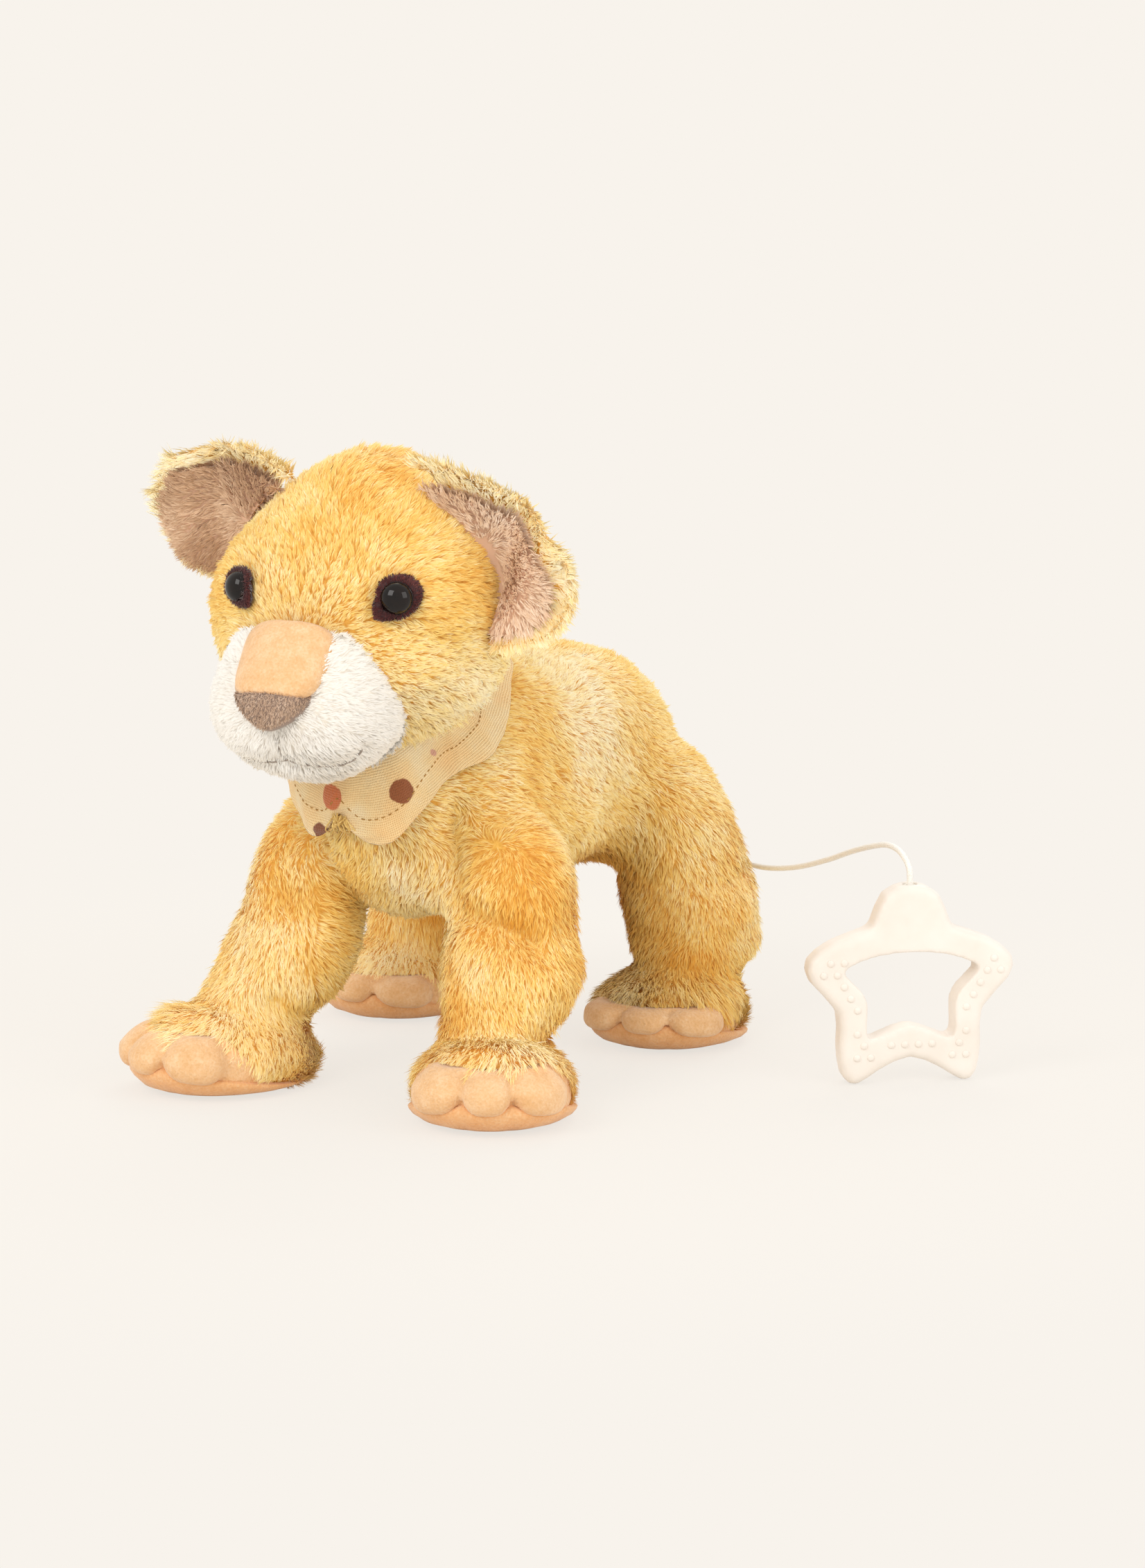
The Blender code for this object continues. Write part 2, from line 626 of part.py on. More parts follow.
def make_tack():
    """A knot of thread under the gather, where the bandana is sewn to the chest."""
    neck_down = Vector((0.0, math.sin(NECK_TILT), -math.cos(NECK_TILT)))
    front_way = Vector((0.0, -math.cos(NECK_TILT), -math.sin(NECK_TILT)))
    edge = Vector((0.0, -NECK_FORWARD, NECK_HEIGHT))
    edge += neck_down * (BANDANA_FRONT_DROP - BANDANA_GATHER_RISE + TACK_DIAMETER / 2 + TACK_DROP)
    place, normal = tree_of(TORSO).ray_cast(edge + front_way * TORSO_LENGTH, -front_way)[:2]
    turn = Matrix((ACROSS, normal.cross(ACROSS), normal)).transposed().to_4x4()
    radius = TACK_DIAMETER / 2
    steps = 4
    profile = [(0.0, GAP)]
    for step in range(steps):
        angle = math.pi / 2 * step / steps
        profile.append((radius * math.cos(angle), GAP + TACK_HEIGHT * math.sin(angle)))
    profile.append((0.0, GAP + TACK_HEIGHT))
    return turned("bandana_tack", profile, THREAD, 12, turn=Matrix.Translation(place) @ turn)


make_tack()


def neck_plug():
    """The whole neck inside the bandana's outer face, to cut from what lies against it."""
    return add_object("neck_cutter", mesh_from("neck_cutter", skin_rings(
        bandana_rows(BANDANA_LIFT + BANDANA_THICKNESS + 2 * GAP, OVERRUN))), MUSLIN)


# Muzzle: two white cheeks with a chin, wide below and narrow beside the bridge of the nose
MUZZLE_SHARES = (
    (0.00, 0.03, 0.62, 0.76), (0.20, 0.00, 0.92, 0.96), (0.42, 0.00, 1.00, 1.00),
    (0.62, 0.02, 0.93, 0.96), (0.82, 0.06, 0.80, 0.82), (1.00, 0.12, 0.62, 0.62),
)


def muzzle_place(t):
    back = spline(MUZZLE_SHARES, t)[0]
    return (0.0, -MUZZLE_FORWARD + MUZZLE_DEPTH * back, MUZZLE_BOTTOM + MUZZLE_HEIGHT * t)


def muzzle_size(t):
    width, depth = spline(MUZZLE_SHARES, t)[1:]
    return MUZZLE_WIDTH / 2 * width, MUZZLE_DEPTH / 2 * depth


MUZZLE = stuffed("muzzle", muzzle_place, muzzle_size, ACROSS, BACKWARD, 12, 24, WHITE_PLUSH,
                 (0.36, 0.30), 2.2)


# Legs: a shoulder or thigh that tapers to the ankle
LEG_SHARES = (
    (0.00, 0.84, 0.84), (0.20, 1.00, 1.00), (0.45, 0.98, 0.97), (0.70, 0.90, 0.88),
    (0.86, 0.86, 0.84), (1.00, 0.84, 0.82),
)
LEG_RUN_SHARES = ((0.00, 0.00), (0.35, 0.30), (0.70, 0.78), (1.00, 1.00))


def make_leg(name, side, top, width, depth, hip, ankle):
    def place(t):
        run = spline(LEG_RUN_SHARES, t)[0]
        return (side * (hip[0] + (ankle[0] - hip[0]) * run), hip[1] + (ankle[1] - hip[1]) * run,
                top + (LEG_FOOT_HEIGHT - top) * t)

    def size(t):
        across, along = spline(LEG_SHARES, t)
        return width / 2 * across, depth / 2 * along

    return stuffed(name, place, size, ACROSS, BACKWARD, 11, 18, PLUSH, (0.30, 0.12), 2.1)


# Paws: a rounded foot with a flat sole and three toes across its front
PAW_LEVEL_SHARES = (
    (0.00, 0.84), (0.08, 0.95), (0.24, 1.00), (0.46, 0.98), (0.72, 0.80), (0.92, 0.42),
)
PAW_SIDES = 24


def paw_radius_share(angle):
    """The paw's plan, by the angle from its toes: rounder in front, slimmer at the heel."""
    heel = 0.5 - 0.5 * math.cos(angle)
    share = 1.0 - HEEL_SLIM_SHARE * heel
    if abs(angle) < TOE_FAN:
        share += TOE_BULGE_SHARE * math.cos(TOE_COUNT * math.pi * angle / TOE_FAN)**2 - TOE_BULGE_SHARE
    return share


def inset_in_paw(point, inset):
    """The place a point on the paw's outer skin takes when the skin is drawn in all round."""
    angle = math.atan2(point.x, -point.y)
    return Vector((point.x - math.sin(angle) * inset, point.y + math.cos(angle) * inset,
                   inset + (PAW_HEIGHT - 2 * inset) * point.z / PAW_HEIGHT))


def paw_mesh(inset):
    rings = []
    for level, level_share in PAW_LEVEL_SHARES:
        ring = []
        for k in range(PAW_SIDES):
            angle = 2.0 * math.pi * k / PAW_SIDES
            angle = angle if angle <= math.pi else angle - 2.0 * math.pi
            radius = paw_radius_share(angle) * level_share
            outer = Vector((math.sin(angle) * PAW_WIDTH / 2 * radius,
                            -math.cos(angle) * PAW_LENGTH / 2 * radius, PAW_HEIGHT * level))
            ring.append(inset_in_paw(outer, inset))
        rings.append(ring)
    rings.append([Vector((0.0, 0.0, PAW_HEIGHT - inset))])
    return skin_rings(rings)


def panel_mesh(low_front, low_back, high_front, high_back):
    """The skin of the paw between two sloping planes, as a thin closed shell."""
    bm = paw_mesh(0.0)
    bmesh.ops.recalc_face_normals(bm, faces=bm.faces)
    for front, back, upper in ((low_front, low_back, False), (high_front, high_back, True)):
        if front is None:
            continue
        slope = math.atan2(front - back, PAW_LENGTH)
        normal = Vector((0.0, math.sin(slope), math.cos(slope)))
        bmesh.ops.bisect_plane(bm, geom=list(bm.verts) + list(bm.edges) + list(bm.faces),
                               plane_co=(0.0, -PAW_LENGTH / 2, front), plane_no=normal,
                               clear_outer=upper, clear_inner=not upper, dist=GAP / 30)
    skin = list(bm.faces)
    rim = [edge for edge in bm.edges if edge.is_boundary]
    inner = {vertex: bm.verts.new(inset_in_paw(vertex.co, PANEL_THICKNESS))
             for vertex in list(bm.verts)}
    for face in skin:
        bm.faces.new([inner[vertex] for vertex in reversed(face.verts)])
    for edge in rim:
        a, b = edge.verts
        bm.faces.new((a, b, inner[b], inner[a]))
    return bm


def make_paw(label, side, ankle, splay):
    turn = Matrix.Rotation(side * splay, 4, "Z")
    toe_direction = turn @ Vector((0.0, -1.0, 0.0))
    centre = Vector((side * ankle[0], ankle[1], 0.0)) + toe_direction * PAW_SET_FORWARD
    pieces = []
    shapes = (
        ("paw_", paw_mesh(PANEL_THICKNESS + GAP), PLUSH),
        ("sole_", panel_mesh(None, None, SOLE_EDGE_HEIGHT, TOE_PANEL_BACK_HEIGHT), VELOUR),
        ("toes_", panel_mesh(SOLE_EDGE_HEIGHT + GAP, TOE_PANEL_BACK_HEIGHT + GAP,
                             TOE_PANEL_FRONT_HEIGHT, TOE_PANEL_BACK_HEIGHT + 2 * GAP), VELOUR),
    )
    for prefix, bm, material in shapes:
        bmesh.ops.transform(bm, matrix=Matrix.Translation(centre) @ turn, verts=bm.verts)
        pieces.append(add_object(prefix + label, mesh_from(prefix + label, bm), material))
    return pieces


FRONT_ANKLE = (FRONT_ANKLE_SPACING / 2, -FRONT_ANKLE_FORWARD)
REAR_ANKLE = (REAR_ANKLE_SPACING / 2, REAR_ANKLE_BACK)
LEGS = []
PAWS = []
for side, side_name in ((1, "left"), (-1, "right")):
    front_leg = make_leg("leg_front_" + side_name, side, FRONT_LEG_TOP, FRONT_LEG_WIDTH,
                         FRONT_LEG_DEPTH, (FRONT_SHOULDER_SPACING / 2, -FRONT_SHOULDER_FORWARD),
                         FRONT_ANKLE)
    rear_leg = make_leg("leg_rear_" + side_name, side, REAR_LEG_TOP, REAR_LEG_WIDTH,
                        REAR_LEG_DEPTH, (REAR_HIP_SPACING / 2, REAR_HIP_BACK), REAR_ANKLE)
    front_paw = make_paw("front_" + side_name, side, FRONT_ANKLE, FRONT_PAW_SPLAY)
    rear_paw = make_paw("rear_" + side_name, side, REAR_ANKLE, REAR_PAW_SPLAY)
    for leg, paw in ((front_leg, front_paw), (rear_leg, rear_paw)):
        carve(leg, grown(TORSO), neck_plug())
        carve(paw[0], grown(leg))
        LEGS.append(leg)
        PAWS.append(paw)


# Ears: a cupped half disc of plush, with a lining inside its rim
EAR_ROWS = 5
EAR_SIDES = 16


def ear_mesh(rim, front, back):
    """A cupped disc between two depths; front and back are how far it lies from its middle."""
    faces = []
    for depth, flip in ((front, False), (back, True)):
        rows = [[Vector((0.0, 0.0, 0.0))]]
        for i in range(1, EAR_ROWS + 1):
            share = i / EAR_ROWS
            rows.append([Vector((math.sin(2 * math.pi * k / EAR_SIDES) * (EAR_LENGTH / 2 - rim) * share,
                                 0.0,
                                 math.cos(2 * math.pi * k / EAR_SIDES) * (EAR_REACH - rim) * share))
                         for k in range(EAR_SIDES)])
        for row in rows:
            for point in row:
                share = math.hypot(point.x / (EAR_LENGTH / 2), point.z / EAR_REACH)
                thin = math.sqrt(max(1.0 - 0.75 * share**2, 0.0))
                point.y = depth * thin - EAR_CUP * share**2
        faces.append(rows if not flip else rows[::-1])
    return skin_rings(faces[0] + faces[1])


def make_ear(side, side_name):
    lift = EAR_LIFT_DIFFERENCE if side < 0 else 0.0
    droop = EAR_DROOP - (EAR_DROOP_DIFFERENCE if side < 0 else 0.0)
    root = Vector((side * EAR_SPACING / 2, -EAR_ROOT_FORWARD, EAR_ROOT_HEIGHT + lift))
    turn = (Matrix.Translation(root) @ Matrix.Rotation(side * EAR_TURN, 4, "Z")
            @ Matrix.Rotation(side * droop, 4, "Y"))
    pieces = []
    half = EAR_THICKNESS / 2
    lining_face = -half + EAR_LINING_THICKNESS
    for name, rim, front, back, material in (
            ("ear_", 0.0, lining_face + GAP, half, PLUSH),
            ("ear_lining_", EAR_RIM, -half, lining_face, LINING)):
        bm = ear_mesh(rim, front, back)
        bmesh.ops.transform(bm, matrix=turn, verts=bm.verts)
        pieces.append(add_object(name + side_name, mesh_from(name + side_name, bm), material))
    return pieces


EARS = make_ear(1, "left") + make_ear(-1, "right")
for ear_piece in EARS:
    carve(ear_piece, grown(HEAD))


# Bridge and tip of the nose: a velour panel down the snout, and the nose under it
def rounded_rectangle(width, height, corner, steps=4):
    outline = []
    for quarter, (sx, sy) in enumerate(((1, 1), (-1, 1), (-1, -1), (1, -1))):
        for step in range(steps + 1):
            angle = math.pi / 2 * (quarter + step / steps)
            outline.append((sx * (width / 2 - corner) + corner * math.cos(angle),
                            sy * (height / 2 - corner) + corner * math.sin(angle)))
    return outline


BRIDGE_OUTLINE = rounded_rectangle(BRIDGE_WIDTH, BRIDGE_LENGTH, BRIDGE_CORNER)
BRIDGE = plate("nose_bridge", BRIDGE_OUTLINE, -BRIDGE_THICKNESS / 2, BRIDGE_THICKNESS / 2, VELOUR)
BRIDGE.data.transform(Matrix.Translation((0.0, -BRIDGE_FORWARD, BRIDGE_MIDDLE_HEIGHT))
                      @ Matrix.Rotation(BRIDGE_SLOPE, 4, "X"))
NOSE_SHARES = (
    (-1.00, 0.62), (-0.55, 0.98), (0.00, 1.00), (0.55, 0.98), (1.00, 0.62), (0.78, -0.10),
    (0.38, -0.72), (0.00, -1.00), (-0.38, -0.72), (-0.78, -0.10),
)
NOSE_OUTLINE = [(NOSE_WIDTH / 2 * point.x, NOSE_HEIGHT / 2 * point.y)
                for point in round_profile([(*share, 0.0) for share in NOSE_SHARES], detail=2)]
NOSE = plate("nose", NOSE_OUTLINE, -NOSE_THICKNESS / 2, NOSE_THICKNESS / 2, TAUPE, "Y",
             (0.0, -NOSE_FORWARD, NOSE_MIDDLE_HEIGHT))
carve(NOSE, grown(MUZZLE))
carve(BRIDGE, grown(MUZZLE), grown(HEAD), grown(NOSE))
carve(MUZZLE, grown(HEAD), neck_plug())
carve(HEAD, grown(TORSO), neck_plug())


# Mouth: one line of thread down from the nose and out along each cheek
def seated(tree, point, direction, lift):
    """Where a line from the point along the direction meets a surface, raised by the lift."""
    hit, normal, _, _ = tree.ray_cast(Vector(point), Vector(direction))
    return hit + normal * lift, normal


MUZZLE_TREE = tree_of(MUZZLE)
STITCH_LIFT = STITCH_DIAMETER / 2 + GAP


def stitch_line(name, points, diameter, material):
    curve = bpy.data.curves.new(name, "CURVE")
    curve.dimensions = "3D"
    curve.bevel_depth = diameter / 2
    curve.bevel_resolution = 1
    curve.use_fill_caps = True
    run = curve.splines.new("POLY")
    run.points.add(len(points) - 1)
    for knot, point in zip(run.points, points):
        knot.co = (*point, 1.0)
    piece = bpy.data.objects.new(name, curve)
    piece.parent = ROOT
    curve.materials.append(material)
    bpy.context.scene.collection.objects.link(piece)
    return piece


mouth = []
AHEAD = -(MUZZLE_FORWARD + MUZZLE_DEPTH)
for step in range(MOUTH_POINTS):
    share = 2 * step / (MOUTH_POINTS - 1) - 1
    height = PHILTRUM_BOTTOM - MOUTH_CURL / 3 * math.sin(math.pi * abs(share))
    curl = max(abs(share) - MOUTH_CURL_START_SHARE, 0.0) / (1.0 - MOUTH_CURL_START_SHARE)
    height += MOUTH_CURL * curl**2
    mouth.append(seated(MUZZLE_TREE, (MOUTH_HALF_WIDTH * share, AHEAD, height), BACKWARD,
                        STITCH_LIFT)[0])
stitch_line("mouth_stitch", mouth, STITCH_DIAMETER, THREAD)
philtrum = []
PHILTRUM_START = NOSE_MIDDLE_HEIGHT - NOSE_HEIGHT / 2 - STITCH_DIAMETER
PHILTRUM_END = PHILTRUM_BOTTOM + STITCH_DIAMETER + GAP
for step in range(4):
    height = PHILTRUM_START + (PHILTRUM_END - PHILTRUM_START) * step / 3
    philtrum.append(seated(MUZZLE_TREE, (0.0, AHEAD, height), BACKWARD, STITCH_LIFT)[0])
stitch_line("philtrum_stitch", philtrum, STITCH_DIAMETER, THREAD)


# Eyes: a safety eye on a shank with a lock washer inside the head, and stitching round it
EYE_SIDES = 14


def eye_frame(side):
    start = (side * EYE_SPACING / 2, AHEAD, EYE_HEIGHT)
    place, normal = seated(HEAD_TREE, start, BACKWARD, 0.0)
    side_way = normal.cross(UPWARD).normalized()
    upright = side_way.cross(normal)
    turn = Matrix((side_way, upright, normal)).transposed().to_4x4()
    return Matrix.Translation(place) @ turn


def make_eye(side, side_name):
    frame = eye_frame(side)
    seat = EYE_PATCH_THICKNESS + 2 * GAP
    radius, shank = EYE_DIAMETER / 2, EYE_SHANK_DIAMETER / 2
    profile = [(0.0, seat - EYE_SHANK_LENGTH), (shank, seat - EYE_SHANK_LENGTH), (shank, seat),
               (radius * EYE_RIM_SHARE, seat)]
    rim = EYE_DOME_HEIGHT * EYE_RIM_HEIGHT_SHARE
    steps = 4
    for step in range(steps):
        angle = math.pi / 2 * step / steps
        profile.append((radius * math.cos(angle),
                        seat + rim + (EYE_DOME_HEIGHT - rim) * math.sin(angle)))
    profile.append((0.0, seat + EYE_DOME_HEIGHT))
    eye = turned("eye_" + side_name, profile, EYE_GLOSS, EYE_SIDES, turn=frame)
    bore = shank + GAP
    washer_in = -EYE_WASHER_DEPTH
    washer_out = washer_in - EYE_WASHER_THICKNESS
    turned("eye_washer_" + side_name,
           [(bore, washer_in), (EYE_WASHER_DIAMETER / 2, washer_in),
            (EYE_WASHER_DIAMETER / 2, washer_out), (bore, washer_out), (bore, washer_in)],
           NYLON, EYE_SIDES, turn=frame)
    pocket = EYE_WASHER_DIAMETER / 2 + GAP
    cutter = turned("pocket_cutter",
                    [(0.0, seat - EYE_SHANK_LENGTH - GAP), (bore, seat - EYE_SHANK_LENGTH - GAP),
                     (bore, washer_out - GAP), (pocket, washer_out - GAP),
                     (pocket, washer_in + GAP), (bore, washer_in + GAP), (bore, OVERRUN),
                     (0.0, OVERRUN)], NYLON, EYE_SIDES, turn=frame)
    carve(HEAD, cutter)
    rings = []
    for reach, level in ((0.0, 0), (0.5, 0), (1.0, 0), (1.0, 1), (0.5, 1), (0.0, 1)):
        ring = []
        for k in range(EYE_SIDES):
            angle = 2 * math.pi * k / EYE_SIDES
            wide = bore + (EYE_PATCH_WIDTH / 2 - bore) * reach
            high = bore + (EYE_PATCH_HEIGHT / 2 - bore) * reach
            local = Vector((math.cos(angle) * wide, math.sin(angle) * high, EYE_PATCH_WIDTH))
            start = frame @ local
            point, normal = seated(HEAD_TREE, start, -(frame.to_3x3() @ UPWARD), 0.0)
            ring.append(point + normal * (GAP + EYE_PATCH_THICKNESS * level))
        rings.append(ring)
    bm = bmesh.new()
    rows = [[bm.verts.new(point) for point in ring] for ring in rings]
    for lower, upper in zip(rows, rows[1:] + rows[:1]):
        for k in range(EYE_SIDES):
            n = (k + 1) % EYE_SIDES
            bm.faces.new((lower[k], lower[n], upper[n], upper[k]))
    add_object("eye_patch_" + side_name, mesh_from("eye_patch_" + side_name, bm), EMBROIDERY)
    return eye


for side, side_name in ((1, "left"), (-1, "right")):
    make_eye(side, side_name)


# Star grip: a hollow star with rounded arms, standing on its two lower points
STAR_SHARES = (
    (0.00, 1.00), (0.26, 0.90), (0.38, 0.62), (0.46, 0.55), (0.78, 0.43), (1.00, 0.25),
    (0.97, 0.03), (0.71, -0.27), (0.70, -0.60), (0.66, -0.90), (0.53, -1.00), (0.30, -0.86),
    (0.00, -0.74), (-0.30, -0.86), (-0.53, -1.00), (-0.66, -0.90), (-0.70, -0.60),
    (-0.71, -0.27), (-0.97, 0.03), (-1.00, 0.25), (-0.78, 0.43), (-0.46, 0.55),
    (-0.38, 0.62), (-0.26, 0.90),
)
STAR_HOLE_SHARES = (
    (0.00, 0.32), (0.34, 0.29), (0.60, 0.20), (0.66, 0.12), (0.50, -0.05), (0.43, -0.20),
    (0.44, -0.44), (0.40, -0.55), (0.25, -0.50), (0.00, -0.42), (-0.25, -0.50),
    (-0.40, -0.55), (-0.44, -0.44), (-0.43, -0.20), (-0.50, -0.05), (-0.66, 0.12),
    (-0.60, 0.20), (-0.34, 0.29),
)


def star_outline(shares):
    return [(STAR_WIDTH / 2 * point.x, STAR_HEIGHT / 2 * point.y)
            for point in round_profile([(*share, 0.0) for share in shares], detail=2)]


def rounded_plate(name, outline, thickness, edge, outward):
    """A plate whose edge is rounded, by shrinking its outline towards both faces."""
    count = len(outline)
    normals = []
    for k in range(count):
        a, b = Vector(outline[k - 1]), Vector(outline[(k + 1) % count])
        along = (b - a).normalized()
        normals.append(Vector((along.y, -along.x)) * outward)
    bm = bmesh.new()
    rows = []
    half = thickness / 2
    for depth, shrink in ((-half, edge), (-half + edge / 3, edge / 3), (-half + edge, 0.0),
                          (half - edge, 0.0), (half - edge / 3, edge / 3), (half, edge)):
        rows.append([bm.verts.new((point[0] - normal.x * shrink, depth,
                                   point[1] - normal.y * shrink))
                     for point, normal in zip(outline, normals)])
    for lower, upper in zip(rows, rows[1:]):
        for k in range(count):
            n = (k + 1) % count
            bm.faces.new((lower[k], lower[n], upper[n], upper[k]))
    bm.faces.new(rows[0])
    bm.faces.new(rows[-1])
    return add_object(name, mesh_from(name, bm), SILICONE)


STAR = rounded_plate("star_grip", star_outline(STAR_SHARES), STAR_THICKNESS, STAR_EDGE_ROUND, -1)
STAR_HOLE = rounded_plate("star_hole_cutter", star_outline(STAR_HOLE_SHARES),
                          STAR_THICKNESS + OVERRUN, 0.0, -1)
carve(STAR, STAR_HOLE)
STAR_BORE = ANCHOR_DIAMETER / 2 + GAP
STAR_TOP = STAR_HEIGHT / 2
carve(STAR, turned("star_bore_cutter", [(0.0, STAR_TOP - STAR_BORE_DEPTH),
                                        (STAR_BORE, STAR_TOP - STAR_BORE_DEPTH),
                                        (STAR_BORE, STAR_TOP + OVERRUN),
                                        (0.0, STAR_TOP + OVERRUN)], SILICONE, 20))
STAR_FRAME = (Matrix.Translation((*STAR_PLACE, STAR_HEIGHT / 2))
              @ Matrix.Rotation(STAR_TURN, 4, "Z"))
STAR.data.transform(STAR_FRAME)
floor_drop = min(vertex.co.z for vertex in STAR.data.vertices)
STAR.data.transform(Matrix.Translation((0.0, 0.0, -floor_drop)))
STAR_SHOULDER = STAR_HEIGHT - floor_drop - STAR_EDGE_ROUND / 2
ANCHOR_TOP = STAR_SHOULDER
ANCHOR_BORE = CORD_DIAMETER / 2 + GAP
turned("cord_anchor", [(ANCHOR_BORE, ANCHOR_TOP - ANCHOR_LENGTH),
                       (ANCHOR_DIAMETER / 2, ANCHOR_TOP - ANCHOR_LENGTH),
                       (ANCHOR_DIAMETER / 2, ANCHOR_TOP), (ANCHOR_BORE, ANCHOR_TOP),
                       (ANCHOR_BORE, ANCHOR_TOP - ANCHOR_LENGTH)],
       NYLON, 20, place=(*STAR_PLACE, 0.0))
KNOT_TOP = ANCHOR_TOP - ANCHOR_LENGTH - GAP
turned("cord_knot", [(0.0, KNOT_TOP - KNOT_DIAMETER)]
       + [(KNOT_DIAMETER / 2 * math.sin(math.pi * k / 8),
           KNOT_TOP - KNOT_DIAMETER / 2 - KNOT_DIAMETER / 2 * math.cos(math.pi * k / 8))
          for k in range(1, 8)]
       + [(0.0, KNOT_TOP)], BRAID, 14, place=(*STAR_PLACE, 0.0))


# Musical movement: everything turns about shafts along X, inside a plastic case
SPOOL_AXIS = Vector((0.0, TORSO_BACK - SPOOL_SET_IN, CORD_EXIT_HEIGHT + SPOOL_WINDING_RADIUS))
MESH_CLEARANCE = GAP / 3


def pitch_radius(teeth):
    return GEAR_MODULE * teeth / 2


def next_axis(axis, teeth, next_teeth, rise_share):
    """The axis of the wheel that meshes in front of this one, a share of the way up."""
    span = pitch_radius(teeth) + pitch_radius(next_teeth) + MESH_CLEARANCE
    rise = span * rise_share
    return axis + Vector((0.0, -math.sqrt(span**2 - rise**2), rise))


CYLINDER_AXIS = next_axis(SPOOL_AXIS, GREAT_WHEEL_TEETH, CYLINDER_WHEEL_TEETH,
                          CYLINDER_DROP_SHARE)
GOVERNOR_AXIS = next_axis(CYLINDER_AXIS, CYLINDER_WHEEL_TEETH, GOVERNOR_PINION_TEETH,
                          GOVERNOR_DROP_SHARE)
COMB_HEIGHT = CYLINDER_AXIS.z - COMB_DROP
PIN_CIRCLE = CYLINDER_DIAMETER / 2 + PIN_HEIGHT + GAP
COMB_TIP = CYLINDER_AXIS.y - math.sqrt(PIN_CIRCLE**2 - (COMB_DROP - COMB_THICKNESS)**2)
COMB_ROOT = COMB_TIP - COMB_LENGTH

# The case fits round the great wheel behind and below, and round the comb's block in front
GREAT_WHEEL_REACH = pitch_radius(GREAT_WHEEL_TEETH) + TOOTH_TIP_SHARE * GEAR_MODULE
CASE_BOTTOM = (SPOOL_AXIS.z - GREAT_WHEEL_REACH - GEAR_FLOOR_ROOM - FRAME_SHEET - GAP
               - CASE_WALL)
CASE_LOW = Vector((-CASE_WIDTH / 2, COMB_ROOT - GAP - FRAME_END_ROOM - CASE_WALL, CASE_BOTTOM))
CASE_HIGH = Vector((CASE_WIDTH / 2,
                    SPOOL_AXIS.y + GREAT_WHEEL_REACH + CASE_REAR_ROOM + CASE_WALL,
                    CASE_BOTTOM + CASE_HEIGHT))
CASE_MIDDLE = (CASE_LOW.y + CASE_HIGH.y) / 2
CASE_SPLIT = CASE_BOTTOM + CASE_HEIGHT / 2
WALLS = Vector((CASE_WALL, CASE_WALL, CASE_WALL))
REACH = Vector((OVERRUN, OVERRUN, OVERRUN))
BOSS_INSET = CASE_WALL + BOSS_DIAMETER / 2 - GAP
SCREW_BORE = SCREW_DIAMETER / 2 + GAP
SCREW_TOP = CASE_SPLIT + CASE_HEIGHT / 4
HEAD_SEAT = CASE_BOTTOM + SCREW_HEAD_HEIGHT + GAP
BOSS_PLACES = [(side * (CASE_WIDTH / 2 - BOSS_INSET),
                CASE_MIDDLE + side * ((CASE_HIGH.y - CASE_LOW.y) / 2 - BOSS_INSET))
               for side in (-1, 1)]


def case_half(name, other_low, other_high):
    """One half of the case: the whole hollow case with its bosses, less the other half."""
    shell = box(name, CASE_LOW, CASE_HIGH, CASE_PLASTIC, CASE_CORNER)
    carve(shell, box("inside_cutter", CASE_LOW + WALLS, CASE_HIGH - WALLS, CASE_PLASTIC))
    low, high = CASE_BOTTOM + CASE_WALL / 2, CASE_HIGH.z - CASE_WALL / 2
    head_bore = SCREW_HEAD_DIAMETER / 2 + GAP
    for x, y in BOSS_PLACES:
        boss = turned("boss", [(0.0, low), (BOSS_DIAMETER / 2, low), (BOSS_DIAMETER / 2, high),
                               (0.0, high)], CASE_PLASTIC, 14, place=(x, y, 0.0))
        carve(shell, boss, operation="UNION")
        bore = turned("screw_bore_cutter",
                      [(0.0, CASE_BOTTOM - OVERRUN), (head_bore, CASE_BOTTOM - OVERRUN),
                       (head_bore, HEAD_SEAT), (SCREW_BORE, HEAD_SEAT),
                       (SCREW_BORE, SCREW_TOP + GAP), (0.0, SCREW_TOP + GAP)],
                      CASE_PLASTIC, 12, place=(x, y, 0.0))
        carve(shell, bore)
    return carve(shell, box("split_cutter", other_low, other_high, CASE_PLASTIC))


CASE_LOWER = case_half("movement_case_lower",
                       (CASE_LOW.x - OVERRUN, CASE_LOW.y - OVERRUN, CASE_SPLIT),
                       CASE_HIGH + REACH)
CASE_UPPER = case_half("movement_case_upper", CASE_LOW - REACH,
                       (CASE_HIGH.x + OVERRUN, CASE_HIGH.y + OVERRUN, CASE_SPLIT + GAP))
for number, (x, y) in enumerate(BOSS_PLACES):
    turned("case_screw_" + str(number + 1),
           [(0.0, CASE_BOTTOM), (SCREW_HEAD_DIAMETER / 2, CASE_BOTTOM),
            (SCREW_HEAD_DIAMETER / 2, HEAD_SEAT - GAP), (SCREW_DIAMETER / 2, HEAD_SEAT - GAP),
            (SCREW_DIAMETER / 2, SCREW_TOP), (0.0, SCREW_TOP)], STEEL, 12, place=(x, y, 0.0))

